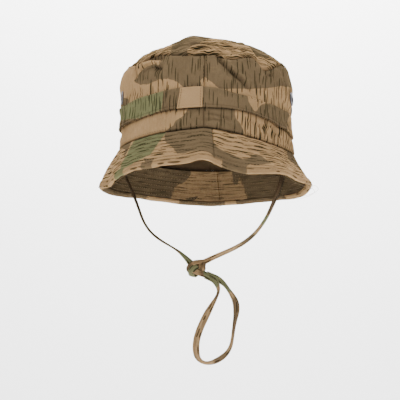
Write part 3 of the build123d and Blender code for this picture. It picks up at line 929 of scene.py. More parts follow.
def rain_strokes(finish, across, along, pitch, length, width, share, seed):
    """Short tapering strokes that run along the cloth, scattered in columns."""
    column = (across / pitch).floor()
    shift, wide, tilt = finish.random(column, 0.0, seed)
    place = along / length + shift * 9
    cell = place.floor()
    chance, long, middle = finish.random(column, cell, seed + 17)
    from_middle = (place - cell - 0.5 - (middle - 0.5) * 0.3) / (long * 0.28 + 0.16)
    taper = 1 - from_middle * from_middle
    beside = across - (column + 0.5) * pitch - (wide - 0.5) * pitch * 0.5
    beside = (beside + (place - cell - 0.5) * (tilt - 0.5) * 0.9).size()
    reach = taper.maths("ADD", 0, clamp=True).maths("POWER", 0.5) * (wide * 0.5 + 0.65) * width
    kept = (share - chance + finish.attribute("dense") * 0.3).between(-0.01, 0.01)
    return (reach - beside).between(-0.1, 0.16) * kept * taper.between(0, 0.1)


def weave(across, along, pitch):
    """Twill: slanting ribs cut by the warp."""
    turn = 2 * math.pi / pitch
    ribs = ((across + along) * turn).maths("SINE")
    warp = ((across - along * 0.35) * (turn * 1.7)).maths("SINE")
    return ribs * 0.6 + warp * 0.4


def printed_cloth(name, strokes, wander, crumple, strength=1.0, light=1.0):
    """Camouflage print on twill: brown and green patches and short dark strokes on tan.

    Each layer of strokes has its columns' pitch, and the strokes' length, width, share and seed. Light below
    1 darkens the whole print as painted shade, for pieces that lie in shade.
    """
    colours = bpy.context.scene.hat_colours
    finish = Finish(name, roughness=0.95, specular=0.0)
    flat, across, along = finish.places()
    solid = finish.body_places()
    edge = (finish.noise(flat, 0.22, 3.0) - 0.5) * 2.0
    brown = (finish.attribute("brown") + edge).between(-0.3, 0.3)
    green = (finish.attribute("green") + edge).between(-0.3, 0.3)
    fade = finish.noise(solid, 38.0, 3.0)
    thread = finish.noise(solid, 900.0, 2.0)
    colour = finish.blend(brown, rgba(colours.tan), rgba(colours.brown))
    colour = finish.blend(green, colour, rgba(colours.green))
    wavy = (finish.noise(flat, wander[0], 1.0) - 0.5) * wander[1]
    rain = None
    for stroke in strokes:
        layer = rain_strokes(finish, across + wavy, along, *stroke)
        rain = layer if rain is None else rain.maths("MAXIMUM", layer)
    calm = finish.attribute("calm").between(-1.5, 1.5)
    depth = (0.98 - brown * 0.28 - green * 0.16) * (1 - calm * 0.94) * strength
    colour = finish.blend(rain * depth, colour, rgba(colours.rain))
    streaks = finish.noise(finish.stretched(flat, 0.8, 0.11, 1.0), 1.0, 3.0)
    shade = (fade - 0.5) * 0.34 + (streaks - 0.5) * 0.42 + (thread - 0.5) * 0.3 + light
    # painted shade darkens creases, seams and shadowed places; wear lightens rubbed places
    colour = finish.shaded(colour, finish.painted_shading(shade, 0.16))
    folds = finish.noise(finish.stretched(flat, *crumple[:2], 1.0), 1.0, 4.0, 0.62, Distortion=0.8)
    rough = finish.bump(finish.noise(solid, 260.0, 3.0), 0.5, 0.5, finish.bump(folds, crumple[2], 0.8))
    normal = finish.bump(weave(across, along, 0.95), 0.07, 0.8, rough)
    return finish.done(colour, normal, 0.86 + (thread - 0.5) * 0.16)


def plain_cloth(name, colour, pitch):
    """Plain woven cloth or tape with uneven dye, painted shade in its creases and worn edges."""
    finish = Finish(name, roughness=0.92, specular=0.08)
    _, across, along = finish.places()
    solid = finish.body_places()
    thread = finish.noise(solid, 1000.0, 2.0)
    shade = (finish.noise(solid, 45.0, 3.0) - 0.5) * 0.3 + (thread - 0.5) * 0.3 + 1.0
    rough = finish.bump(finish.noise(solid, 300.0, 3.0), 0.4, 0.5)
    normal = finish.bump(weave(across, along, pitch), 0.08, 0.8, rough)
    return finish.done(finish.shaded(rgba(colour), finish.painted_shading(shade, 0.18)), normal,
                       0.84 + (thread - 0.5) * 0.16)


def thread_finish(name, colour):
    """Twisted sewing thread with uneven dye."""
    finish = Finish(name, roughness=0.8, specular=0.15)
    solid = finish.body_places()
    twist = finish.noise(solid, 1400.0, 2.0)
    shade = (twist - 0.5) * 0.5 + (finish.noise(solid, 60.0, 2.0) - 0.5) * 0.4 + 1.0
    return finish.done(finish.shaded(rgba(colour), shade), finish.bump(twist, 0.15, 0.7))


def strap_finish(name):
    """Folded tape cut from the printed cloth: brown, with olive and tan lengths and dark strokes."""
    colours = bpy.context.scene.hat_colours
    finish = Finish(name, roughness=0.9, specular=0.1)
    flat, across, along = finish.places()
    solid = finish.body_places()
    edge = (finish.noise(flat, 0.4, 3.0) - 0.5) * 2.0
    brown = (finish.attribute("brown") + edge).between(-1.6, 1.6)
    green = (finish.attribute("green") + edge).between(-1.0, 1.0)
    colour = finish.blend(brown, rgba(colours.tan, 0.86), rgba(colours.tape))
    colour = finish.blend(green, colour, rgba(colours.green))
    rain = rain_strokes(finish, across, along, 2.5, 15.0, 0.85, 0.55, 5)
    colour = finish.blend(rain * 0.75, colour, rgba(colours.rain))
    thread = finish.noise(solid, 1100.0, 2.0)
    lines = finish.noise(finish.stretched(flat, 0.55, 0.05, 1.0), 1.0, 3.0)
    shade = (finish.noise(solid, 60.0, 3.0) - 0.5) * 0.3 + (thread - 0.5) * 0.36 + (lines - 0.5) * 1.7 + 0.95
    rough = finish.bump(finish.noise(solid, 350.0, 3.0), 0.4, 0.6)
    normal = finish.bump(weave(across, along, 0.8), 0.08, 0.9, rough)
    # painted shade in the tape's grooves and painted shadow over the strands' tops; wear lightens the edges
    return finish.done(finish.shaded(colour, finish.painted_shading(shade, 0.2)), normal)


def metal_finish(name, colour, roughness, metallic):
    """Lacquered or plated metal with fine scratches and duller, worn places."""
    finish = Finish(name, roughness=roughness, metallic=metallic, specular=0.5)
    solid = finish.body_places()
    brushed = finish.noise(finish.stretched(solid, 300.0, 300.0, 2600.0), 1.0, 3.0)
    worn = finish.noise(solid, 420.0, 4.0, 0.65)
    marks = worn.between(0.55, 0.72)
    colour = finish.blend(marks * 0.5, rgba(colour), rgba(colour, 0.55))
    normal = finish.bump(brushed * 0.5 + worn * 0.5, 0.04, 0.5)
    return finish.done(colour, normal, roughness + (worn - 0.5) * 0.25 + marks * 0.15)


FINISHES = {}


def make_finishes():
    """The finishes that the pieces share, made the first time that one is needed."""
    if FINISHES:
        return FINISHES
    colours = bpy.context.scene.hat_colours
    FINISHES["print"] = printed_cloth(
        "printed cloth", ((3.7, 24.0, 0.62, 0.6, 1), (5.3, 32.0, 0.7, 0.58, 2)),
        wander=(0.05, 1.8), crumple=(0.07, 0.07, 2.4))
    # The top is painted darker overall: painted shade that tones down the light from above.
    FINISHES["top print"] = printed_cloth(
        "printed cloth on top",
        ((4.4, 40.0, 0.95, 0.85, 3), (6.3, 56.0, 1.1, 0.85, 4), (3.3, 22.0, 0.7, 0.6, 11)),
        wander=(0.075, 13.0), crumple=(0.16, 0.045, 4.0), light=0.69)
    FINISHES["brim print"] = printed_cloth(
        "printed cloth of the brim", ((3.1, 24.0, 0.6, 0.68, 5), (4.7, 34.0, 0.66, 0.62, 6)),
        wander=(0.06, 2.0), crumple=(0.16, 0.06, 1.2))
    # The underside is painted dark overall: painted shade under the brim.
    FINISHES["underside print"] = printed_cloth(
        "printed cloth under the brim", ((3.1, 24.0, 0.6, 0.5, 8), (4.7, 34.0, 0.6, 0.5, 9)),
        wander=(0.06, 2.0), crumple=(0.16, 0.06, 1.2), strength=0.7, light=0.42)
    FINISHES["reverse"] = plain_cloth("reverse of the cloth", colours.lining, 0.95)
    FINISHES["patch"] = plain_cloth("plain tan cloth", colours.tan, 0.95)
    # The hem is painted a little darker overall: painted shade along the brim's edge.
    FINISHES["hem"] = printed_cloth(
        "cloth of the hem", ((3.1, 16.0, 0.6, 0.34, 7), (2.3, 11.0, 0.45, 0.22, 12)),
        wander=(0.06, 1.2), crumple=(0.3, 0.12, 1.2), strength=0.8, light=0.9)
    FINISHES["sweatband"] = plain_cloth("sweatband cloth", colours.lining, 1.2)
    FINISHES["tape"] = plain_cloth("seam tape", colours.lining, 0.7)
    FINISHES["interlining"] = plain_cloth("interlining", (0.6, 0.57, 0.5), 1.1)
    FINISHES["thread"] = thread_finish("sewing thread", colours.thread)
    FINISHES["strap"] = strap_finish("strap tape")
    FINISHES["eyelet"] = metal_finish("grey lacquer", colours.metal, 0.5, 0.25)
    FINISHES["washer"] = metal_finish("dull plate", (0.42, 0.42, 0.42), 0.38, 0.9)
    return FINISHES


# ---------------------------------------------------------------- the pieces


def seam_shade(angle, height):
    """Painted shade on the wall: beside its seams, under and over the band and just under the top seam."""
    low, high = band_low_height(angle), band_high_height(angle)
    at_seam = bell(height - seam_height(angle), 1.1)
    under = 0.85 * np.exp(-np.maximum(low - height, 0) / 1.6) * (height < low + 0.5)
    over = 0.4 * np.exp(-np.maximum(height - high, 0) / 1.0) * (height > high - 0.5)
    at_top = 0.5 * bell(top_height(angle) - height, 1.0)
    return np.clip(np.maximum.reduce([at_seam, under, over, at_top]), 0, 1)


def wall_marks(angle, height):
    """The wall's print, with painted shade in its creases and by its seams and band, and its worn places."""
    marks = print_marks("wall", angle, height)
    push = fold_push(wall(angle, height))
    marks["crease"] = np.clip(seam_shade(angle, height) + np.clip(-push - 0.6, 0, 3) * 0.22, 0, 1)
    marks["worn"] = np.clip((push - 0.5) * 0.5, 0, 1)
    return marks


def vent_frames():
    """Middle of each vent and the direction out of it."""
    for angle, _ in VENTS:
        middle = wall(np.array([float(angle)]), np.array([VENT_HEIGHT]))[0]
        yield middle, outward(np.array([float(angle)]), 0.025)[0]


def cut_vents(bm):
    """Round holes in the wall's cloth, hidden under the eyelets' flanges."""
    for middle, side in vent_frames():
        centre = Vector(middle * MM)
        axis = Vector(side)
        gone = []
        for face in bm.faces:
            away = face.calc_center_median() - centre
            if away.length < 12 * MM and (away - axis * away.dot(axis)).length < 5.0 * MM:
                gone.append(face)
        bmesh.ops.delete(bm, geom=gone, context="FACES")
        for vert in bm.verts:
            away = vert.co - centre
            flat = away - axis * away.dot(axis)
            if away.length < 9 * MM and vert.is_boundary:
                vert.co = centre + axis * away.dot(axis) + flat.normalized() * 4.9 * MM


def make_crown_walls():
    """The two panels of the crown's wall."""
    for side, name in ((1, "left"), (-1, "right")):

        def spread(first, second):
            angle = side * first * 180
            seam, top = seam_height(angle), top_height(angle)
            return angle, seam + (top - seam) * second

        piece = cloth_mesh(
            f"crown_wall_{name}", 250, 92, spread, crown_wall, flat_uv, wall_marks, cut=cut_vents)
        thicken(piece, bpy.context.scene.hat_sizes.cloth / MM, reverse=True)
        finish_piece(piece, "hat", "camouflage_cloth", ["print", "reverse"], f"crown_side_{name}")


def on_disc(first, second):
    """Angle and share of the way out of a square grid pressed into a disc."""
    x, y = first * 2 - 1, second * 2 - 1
    wide = np.abs(x) > np.abs(y)
    reach = np.where(wide, x, y)
    safe = np.where(np.abs(reach) < 1e-9, 1e-9, reach)
    turn = np.where(wide, math.pi / 4 * y / safe, math.pi / 2 - math.pi / 4 * x / safe)
    px, py = reach * np.cos(turn), reach * np.sin(turn)
    return np.degrees(np.arctan2(px, -py)), np.clip(np.hypot(px, py), 0, 1)


def top_marks(angle, share):
    """The top's print, with painted shade in its creases and by its seam, and its worn places."""
    base = dome(angle, share)
    marks = print_marks("top", base[:, 0], base[:, 1])
    push = fold_push(base)
    away = (1 - share) * TOP_REACH
    marks["crease"] = np.clip(0.5 * bell(away, 1.0) + np.clip(-push - 0.6, 0, 3) * 0.2, 0, 1)
    marks["worn"] = np.clip((push - 0.5) * 0.4 + 0.6 * bell(away - 2.6, 1.5), 0, 1)
    return marks


def top_uv(angle, share):
    """The top panel's own places: its strokes run from side to side."""
    base = dome(angle, share)
    return np.stack([base[:, 1] + base[:, 2] * 0.8, base[:, 0]], -1)


def make_crown_top():
    """The top panel."""
    piece = cloth_mesh("crown_top_panel", 190, 190, on_disc, crown_top, top_uv, top_marks)
    thicken(piece, bpy.context.scene.hat_sizes.cloth / MM, reverse=True)
    finish_piece(piece, "hat", "camouflage_cloth", ["top print", "reverse"], "crown_top")


def make_linings():
    """The sweatband and the tapes over the crown's seams."""
    bottom, height = 0.6, 29.4
    points = section((0, LINING_OUT), (height - 0.6, LINING_OUT), (height, -1.4), (height, -1.9),
                     (height - 0.6, -2.15), (0, -2.15), (-0.4, -1.65))

    def band_at(angle, rise, out):
        return crown_wall(angle, seam_height(angle) * (1 - rise / height) + bottom + rise, out)

    # The sweatband is painted darker towards its lower edge: painted shade.
    band = ring("sweatband_cloth", points, band_at, marks=lambda angle, rise, out: {
        "worn": np.clip((rise - 26) / 4, 0, 1), "crease": np.exp(-rise / 1.5)})
    finish_piece(band, "hat", "sweatband_cloth", ["sweatband"], "sweatband")

    points = section((0.3, LINING_OUT), (8.0, LINING_OUT), (8.4, -1.5), (8.0, -1.95), (0.3, -1.95),
    (0, -1.5))
    tape = ring(
        "top_tape", points,
        lambda angle, rise, out: crown_wall(angle, top_height(angle) - 8.6 + rise, out),
        marks=lambda angle, rise, out: {"worn": np.clip((1 - rise) * 0.8, 0, 1), "crease": 0 * rise})
    finish_piece(tape, "hat", "seam_tape", ["tape"], "top_seam_tape")

    turn, low = 10 / 1.75, 31
    for name, middle in (("front", 0.0), ("back", 180.0)):
        top = float(top_height(np.array([middle]))[0]) - 9.5
        piece = cloth_mesh(
            f"{name}_tape", 14, 44,
            lambda first, second: (middle + (first - 0.5) * turn + 0 * second, low + (top - low) * second),
            lambda angle, height: crown_wall(angle, height, LINING_OUT),
            flat_uv,
            lambda angle, height: {"worn": (np.abs(angle - middle) > 0.42 * turn) * 1.0, "crease": 0 * angle})
        thicken(piece, SEAM_TAPE)
        finish_piece(piece, "hat", "seam_tape", ["tape"], f"{name}_seam_tape")


def band_lift(angle, rise):
    """How far the band stands off the wall: a little everywhere, more at its slack lower edge."""
    slack = 0.25 + 1.3 * near(angle, 60, 24) + 0.6 * near(angle, -62, 22) + 0.35 * near(angle, 150, 60)
    return 0.1 + slack * (1 - smooth(rise, 0, 13)) + 0.25 * smooth(rise, 15, 21)


def band_height(angle, rise):
    """Height over the brim seam of a place on the band."""
    low, high = band_low_height(angle), band_high_height(angle)
    return low + (high - low) * rise / BAND_HEIGHT


def band_place(angle, rise, out):
    """Point on the band, with the puckers of its stitched edges."""
    pucker = 0.3 * ripple(angle, 6.0, 0.7) * (np.exp(-rise / 5) + np.exp(-(BAND_HEIGHT - rise) / 4))
    return crown_wall(angle, band_height(angle, rise), out + band_lift(angle, rise) + pucker * (out > 0.8))


def band_marks(angle, rise, out):
    """The band's print, with painted shade on its inner face and along its lower edge and stitching, and its
    worn edges.
    """
    marks = print_marks("band", angle, band_height(angle, rise))
    marks["crease"] = np.where(out < 0.3, 0.6, 0.25 * np.exp(-rise / 0.8) + 0.3 * bell(rise - 3, 0.7))
    marks["worn"] = np.where(out > 0.6, bell(rise - 20.5, 0.8) + bell(rise - 1.2, 0.8), 0)
    return marks


def patch_edge(rise):
    """Angle of the patch's outer edge, which leans."""
    return -16.6 + 1.7 * rise / BAND_HEIGHT


def make_band():
    """The band round the crown, and the plain patch over its joint."""
    points = section((0.5, 0), (20.5, 0), (20.95, 0.4), (20.95, 1.1), (20.5, 1.5), (0.5, 1.5), (0.05, 1.1),
                     (0.05, 0.4), step=1.3)
    band = ring("band_cloth", points, band_place, marks=band_marks, columns=460,
                uv=lambda angle, rise: flat_uv(angle, rise + 20))
    finish_piece(band, "hat", "camouflage_cloth", ["print"], "foliage_band")

    def spread(first, second):
        left = -16.6 + 1.7 * second
        angle = left + (-0.9 - left) * first
        return angle, -0.4 + 21.0 * second, np.minimum(first, 1 - first), np.minimum(second, 1 - second)

    def on_patch(angle, rise, side, end):
        edge = np.minimum(side * PATCH_WIDTH, end * PATCH_HEIGHT)
        swell = 0.25 * smooth(edge, 0.6, 3.5) + 0.35 * smooth(edge, 0, 0.8)
        return band_place(angle, rise, 2.15 + swell - 0.25 * bell(edge - 2.0, 0.5))

    piece = cloth_mesh(
        "patch_cloth", 44, 40, spread, on_patch,
        lambda angle, rise, side, end: flat_uv(angle, rise),
        # The patch is painted darker in the groove by its sides: painted shade.
        lambda angle, rise, side, end: {
            "worn": np.clip(1 - np.minimum(side, end) * 22, 0, 1),
            "crease": 0.3 * bell(side * PATCH_WIDTH - 2.0, 0.5)})
    thicken(piece, SEAM_TAPE)
    finish_piece(piece, "hat", "tan_cloth", ["patch"], "band_patch")


def brim_marks(angle, share, side):
    """The brim's print. Its underside is cut from another part of the cloth."""
    away = share * brim_width(angle)
    marks = print_marks("brim", angle if side > 0 else turn_from(angle, -143), away)
    # Under the brim the print turns mostly brown, without green or calm patches: brown print that also stands
    # in as painted shade under the brim.
    if side < 0:
        marks["calm"] = marks["green"] = 0 * away - 30
        marks["dense"] = 0 * away
        marks["brown"] = np.maximum(marks["brown"], 30 - np.abs(np.abs(turn_from(angle, 0)) - 105) * 0.55)
    _, from_row, on_rows = nearest_row(away)
    rows = 0.42 * bell(from_row, 0.7) * on_rows
    # Painted shade along the seam and the stitched rows, and a little over the left side.
    marks["crease"] = np.clip(bell(away, 1.1) + rows + 0.16 * near(angle, 90, 45), 0, 1)
    marks["worn"] = 0 * away
    return marks


def make_brim_cloths():
    """The brim's upper and lower cloths, each in two halves, and the stiffener between them."""
    halves = (("left", *BRIM_SEAMS), ("right", BRIM_SEAMS[1], 360 + BRIM_SEAMS[0]))
    for layer, out, side, finish in (("upper", 0.0, 1, "brim print"),
    ("lower", -1.6, -1, "underside print")):
        for name, start, end in halves:
            piece = cloth_mesh(
                f"brim_{layer}_{name}_cloth", 260, 46,
                lambda first, second: (start + (end - start) * first, second * 0.998),
                lambda angle, share: brim_face(angle, share, out),
                lambda angle, share: np.stack([share * BRIM_WIDTH, angle * 2.0], -1),
                lambda angle, share: brim_marks(angle, share, side))
            thicken(piece, bpy.context.scene.hat_sizes.brim_cloth / MM)
            finish_piece(piece, "hat", "camouflage_cloth", [finish], f"brim_{layer}_{name}")
    core = ring(
        "brim_stiffener", section((0.5, -0.9), (43.0, -0.9), (43.4, -1.2), (43.0, -1.5), (0.5, -1.5)),
        lambda angle, away, out: brim_face(angle, away / BRIM_WIDTH, out), columns=300)
    finish_piece(core, "hat", "interlining", ["interlining"], "brim_interlining")


def hem_place(angle, away, out):
    """Point on the hem, with its puckers. It follows the brim's edge wherever that lies."""
    from_middle = out + 1.2
    pucker = 0.18 * ripple(angle, 3.6, 5.2) * (np.abs(from_middle) > 1.6) * bell(away - 41.0, 2.2)
    share = 1 + (away - BRIM_WIDTH) / brim_width(angle)
    return brim_face(angle, share, out + pucker * np.sign(from_middle))


def hem_marks(angle, away, out):
    """The hem's print, with painted shade along its stitching and towards the brim's two sides, and its worn
    edge.
    """
    brown = np.maximum(6.2 - np.abs(angle - 15.5), 3 - np.abs(angle + 27)) * 2
    for middle, half in ((150, 16), (-176, 12), (-124, 22)):
        brown = np.maximum(brown, (half - np.abs(turn_from(angle, middle))) * 2)
    stitched = 0.35 * bell(away - 41.2, 0.5) + 0.5 * bell(away - 39.6, 0.5)
    dense = np.maximum(near(angle, 88, 40), near(angle, -90, 30))
    return {
        "brown": brown + 0 * away,
        "green": (6.5 - np.abs(angle + 52)) * 2 + 0 * away,
        "calm": 0 * away - 30,
        "dense": dense + 0 * away,
        "worn": bell(away - 45.6, 0.9) * 0.4,
        "crease": stitched + 0.12 * dense,
    }


def make_hem():
    """The strip folded over the brim's edge."""
    points = section((39.6, 0.1), (39.6, 0.5), (40.1, 0.95), (44.6, 0.95), (45.6, 0.3), (46.1, -0.6),
                     (46.1, -1.8), (45.6, -2.7), (44.6, -3.35), (40.1, -3.35), (39.6, -2.9), (39.6, -2.5),
                     (44.4, -2.5), (44.9, -1.9), (44.9, -0.5), (44.4, 0.1), step=1.2)
    hem = ring("hem", points, hem_place, marks=hem_marks, columns=460,
               uv=lambda angle, away: np.stack([away + 0 * angle, angle * 2.0], -1))
    finish_piece(hem, "hat", "tan_cloth", ["hem"], "brim_edge_binding")


def stitch_sizes():
    """Pitch, length and thickness of the stitches, in millimetres."""
    sizes = bpy.context.scene.hat_sizes
    return sizes.stitch_pitch / MM, sizes.stitch_length / MM, sizes.thread / MM


def sew_brim():
    """The rows round the brim's two faces, and the hem's."""
    pitch, length, thread = stitch_sizes()
    gap = bpy.context.scene.hat_sizes.row_gap / MM

    def row(away, out, side):
        return even_row(lambda angle: brim_face(angle, away / brim_width(angle), out), -180.0, 180.0, pitch,
                        lambda angle: brim_side(angle) * side)

    faces = (("brim_stitches", 1, 0.05, 1.0), ("brim_underside_stitches", -1, -2.45, -3.4))
    for name, side, out, hem_out in faces:
        rows = [row(gap * i, out, side) for i in range(1, 7)]
        sew(name, [*rows, row(41.2, hem_out, side)], "hat", length, thread)


def sew_crown():
    """The rows beside the crown's seams, and the sweatband's."""
    pitch, length, thread = stitch_sizes()

    def level_row(height_of, out):
        return even_row(lambda angle: crown_wall(angle, height_of(angle), out), -180.0, 180.0, pitch,
                        lambda angle: outward(angle, 0.05))

    def upright_row(angle, low, high):
        return even_row(
            lambda height: crown_wall(np.full(len(height), angle), height, 0.05), low, high, pitch,
            lambda height: outward(np.full(len(height), angle), 0.0))

    rows = [
        level_row(lambda angle: top_height(angle) - 3.4, 0.05),
        level_row(lambda angle: seam_height(angle) + 2.4, 0.05),
        level_row(lambda angle: seam_height(angle) + 27.0, -2.2),
    ]
    for middle in (0.0, 180.0):
        for offset in (-3.6, -1.4, 1.4, 3.6):
            angle = middle + offset / ANGLE_MM
            top = float(top_height(np.array([angle]))[0]) - 3.5
            rows += [upright_row(angle, 3.0, 17.5), upright_row(angle, 42.5, top)]
    rows.append(even_row(
        lambda angle: crown_top(angle, 1 - 3.6 / 93 + 0 * angle, 0.05), -180.0, 180.0, pitch,
        lambda angle: outward(angle, 1.1)))
    sew("crown_stitches", rows, "hat", length, thread)


def sew_band():
    """The rows along the band, those of its patch, and the bar tacks that hold it."""
    pitch, length, thread = stitch_sizes()
    rows = []
    for rise in (1.9, 19.2):
        rows.append(even_row(
            lambda angle: band_place(angle, rise + 0 * angle, 1.55 + 0 * angle), 0.5, 342.5, pitch,
            lambda angle: outward(angle, 0.0)))
    for share in (2.0 / PATCH_WIDTH, 1 - 2.0 / PATCH_WIDTH):
        rows.append(even_row(
            lambda rise: band_place(patch_edge(rise) * (1 - share) - 0.9 * share, rise, 2.6 + 0 * rise),
            0.8, 19.6, pitch * 0.8,
            lambda rise: outward(-8 + 0 * rise, 0.0)))
    sew("band_stitches", rows, "hat", length * 0.85, thread)

    rows = []
    rises = np.linspace(1.6, 19.4, 52)
    for angle in (22, 67, 112, 157, -22, -67, -112, -157):
        zigzag = angle + np.where(np.arange(len(rises)) % 2, 0.45, -0.45)
        rows.append((band_place(zigzag, rises, np.full(len(rises), 1.62)),
                     outward(np.full(len(rises), float(angle)), 0.0)))
    tacks = sew("bar_tacks", rows, "hat", 1.6, 0.42)
    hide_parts("band_tacks")


# ---------------------------------------------------------------- chin strap

STRAP_EXIT = 82.8  # from the middle to where the strap leaves its sewn ends
RIGHT_ROUTE = ((-82.8, -5), (-82.7, -16.5), (-81.2, -28.5), (-74.8, -41), (-68.3, -57.5), (-62.6, -73),
               (-55, -84), (-45, -91.8), (-33.5, -98.3), (-23.2, -104.8), (-13.2, -115.2))
LEFT_ROUTE = ((82.8, -5), (80.4, -14.5), (77.2, -25), (73.2, -39.5), (67.2, -54), (62.2, -65.5),
              (56.2, -75.6), (49.2, -84.6), (40, -92.6), (30, -98.6), (19.5, -103.6), (9, -108.2),
              (-1.5, -113.6))
LOOP_ROUTE = ((1.4, -125), (8.5, -128), (14, -130.5), (19.2, -134.6), (23.4, -139.8), (27.6, -145.8),
              (31.6, -153), (32.3, -162.6), (30.1, -175), (28.7, -187.6), (27.2, -196.6), (23, -204.2),
              (15.2, -210.3), (6.2, -213.9), (-0.8, -213), (-5.8, -208.4), (-7.6, -200.6), (-7, -190.4),
              (-4, -180.4), (1.4, -168.2), (6.8, -157.8), (11.9, -148.8), (14.3, -142.8), (13.4, -137.2),
              (11, -132.8), (7.76, -129.75), (0.66, -126.75))
KNOT_CENTRE = np.array([-7.2, 0, -119.8])


def tape_line(name, route):
    """Points along the smooth line that the tape's route gives, in millimetres."""
    curve = bpy.data.curves.new(name, "CURVE")
    curve.dimensions = "3D"
    spline = curve.splines.new("NURBS")
    spline.points.add(len(route) - 1)
    for point, (x, z) in zip(spline.points, route):
        point.co = (x * MM, 0, z * MM, 1)
    spline.order_u = 3
    spline.use_endpoint_u = True
    spline.resolution_u = 10
    guide = bpy.data.objects.new(name, curve)
    bpy.context.scene.collection.objects.link(guide)
    mesh = bpy.data.meshes.new_from_object(guide)
    line = np.array([vert.co for vert in mesh.vertices]) / MM
    bpy.data.meshes.remove(mesh)
    bpy.data.objects.remove(guide)
    bpy.data.curves.remove(curve)
    return line


def tape_frame(line, twist):
    """Distance along a tape, and the directions of its width and its face."""
    travelled = distances_along(line)
    direction = unit(np.gradient(line, travelled, axis=0))
    depth = np.array([0.0, 1.0, 0.0])
    level = unit(np.cross(direction, depth))
    turn = np.radians(line_curve(*twist)(travelled / travelled[-1]))[:, None]
    width = depth * np.cos(turn) + level * np.sin(turn)
    return travelled, width, unit(np.cross(width, direction))


def tape_mesh(name, line, frame, width, thickness, marks):
    """Folded tape that follows a line: two rounded folds along its edges and a stitched face."""
    travelled, wide, face = frame
    outline = section((-0.5, -0.2), (-0.42, -0.5), (0.42, -0.5), (0.5, -0.2), (0.5, 0.2), (0.42, 0.5),
                      (-0.42, 0.5), (-0.5, 0.2), step=0.12)
    columns = len(line) - 1

    def spread(first, second):
        return np.round(first * columns).astype(int), *section_at(outline, second)

    def place(at, across, up):
        ridge = 1 - 0.22 * bell(np.abs(across) - 0.33, 0.05) + 0.1 * bell(across, 0.2)
        return line[at] + wide[at] * (across * width)[:, None] + face[at] * (up * thickness * ridge)[:, None]

    def close_ends(bm):
        bmesh.ops.remove_doubles(bm, verts=bm.verts, dist=1e-6)
        bmesh.ops.holes_fill(bm, edges=[edge for edge in bm.edges if edge.is_boundary], sides=0)

    return cloth_mesh(
        name, columns, len(outline), spread, place,
        lambda at, across, up: np.stack([across * width + 3.7 * np.sign(up), travelled[at]], -1),
        lambda at, across, up: marks(travelled[at] / travelled[-1], across),
        closed=True, cut=close_ends)


def tape_marks(brown=(), green=(), length=100.0, painted_shading=0.0):
    """Lengths of a tape that are brown or olive, as shares of the way along it, and painted shadow over its
    start.
    """

    def marks(share, across):
        out = {}
        for key, spans in (("brown", brown), ("green", green)):
            depth = np.full(len(share), -20.0)
            for start, end in spans:
                middle, half = (start + end) / 2, (end - start) / 2
                depth = np.maximum(depth, (half - np.abs(share - middle)) * length + across * 2.5)
            out[key] = depth
        out["worn"] = np.clip((np.abs(across) - 0.42) * 8, 0, 1)
        # Painted shade in the grooves beside the edges, and painted shadow over the start, where the strand
        # hangs in the hat's shade.
        out["crease"] = 0.3 * bell(np.abs(across) - 0.33, 0.05) + painted_shading * (1 - smooth(share, 0.1, 0.5))
        return out

    return marks


def tape_stitches(line, frame, width, thickness, pitch):
    """Rows of stitches near the tape's two edges, on both of its faces."""
    travelled, wide, face = frame
    at = np.linspace(0.02, 0.98, max(int(travelled[-1] / pitch), 8)) * travelled[-1]

    def along(values):
        return np.stack([np.interp(at, travelled, values[:, i]) for i in range(3)], -1)

    rows = []
    for edge in (-0.33, 0.33):
        for side in (-1, 1):
            points = along(line) + along(wide) * width * edge + along(face) * thickness * 0.42 * side
            rows.append((points, along(face) * side))
    return rows


def smooth_path(points, steps=8):
    """A smooth line through points, with a number of steps between each two."""
    at = np.linspace(0, len(points) - 1, (len(points) - 1) * steps + 1)
    return np.stack([line_curve(*enumerate(values))(at) for values in np.array(points, float).T], -1)


def knot_band(name, route, width, thickness, lean, marks):
    """Tape laid over the knot along a route round its centre. The lean tips its face that way."""
    line = smooth_path(route)
    travelled = distances_along(line)
    direction = unit(np.gradient(line, travelled, axis=0))
    wide = unit(np.cross(direction, unit(line / (9.0, 5.0, 7.0) + lean)))
    frame = travelled, wide, unit(np.cross(wide, direction))
    band = tape_mesh(name, line, frame, width, thickness, marks)
    for vert in band.data.vertices:
        vert.co += Vector(KNOT_CENTRE * MM)
    return band


def knot_wrap_route():
    """The turns of tape round the knot, which slide along it."""
    turn = np.radians(np.linspace(-80, 560, 33))
    share = (turn - turn[0]) / (turn[-1] - turn[0])
    return np.stack([6.5 - 5.0 * share + 1.3 * np.sin(turn), -(3.6 + 0.6 * share) * np.cos(turn),
                     (5.1 + 1.0 * share) * np.sin(turn)], -1)


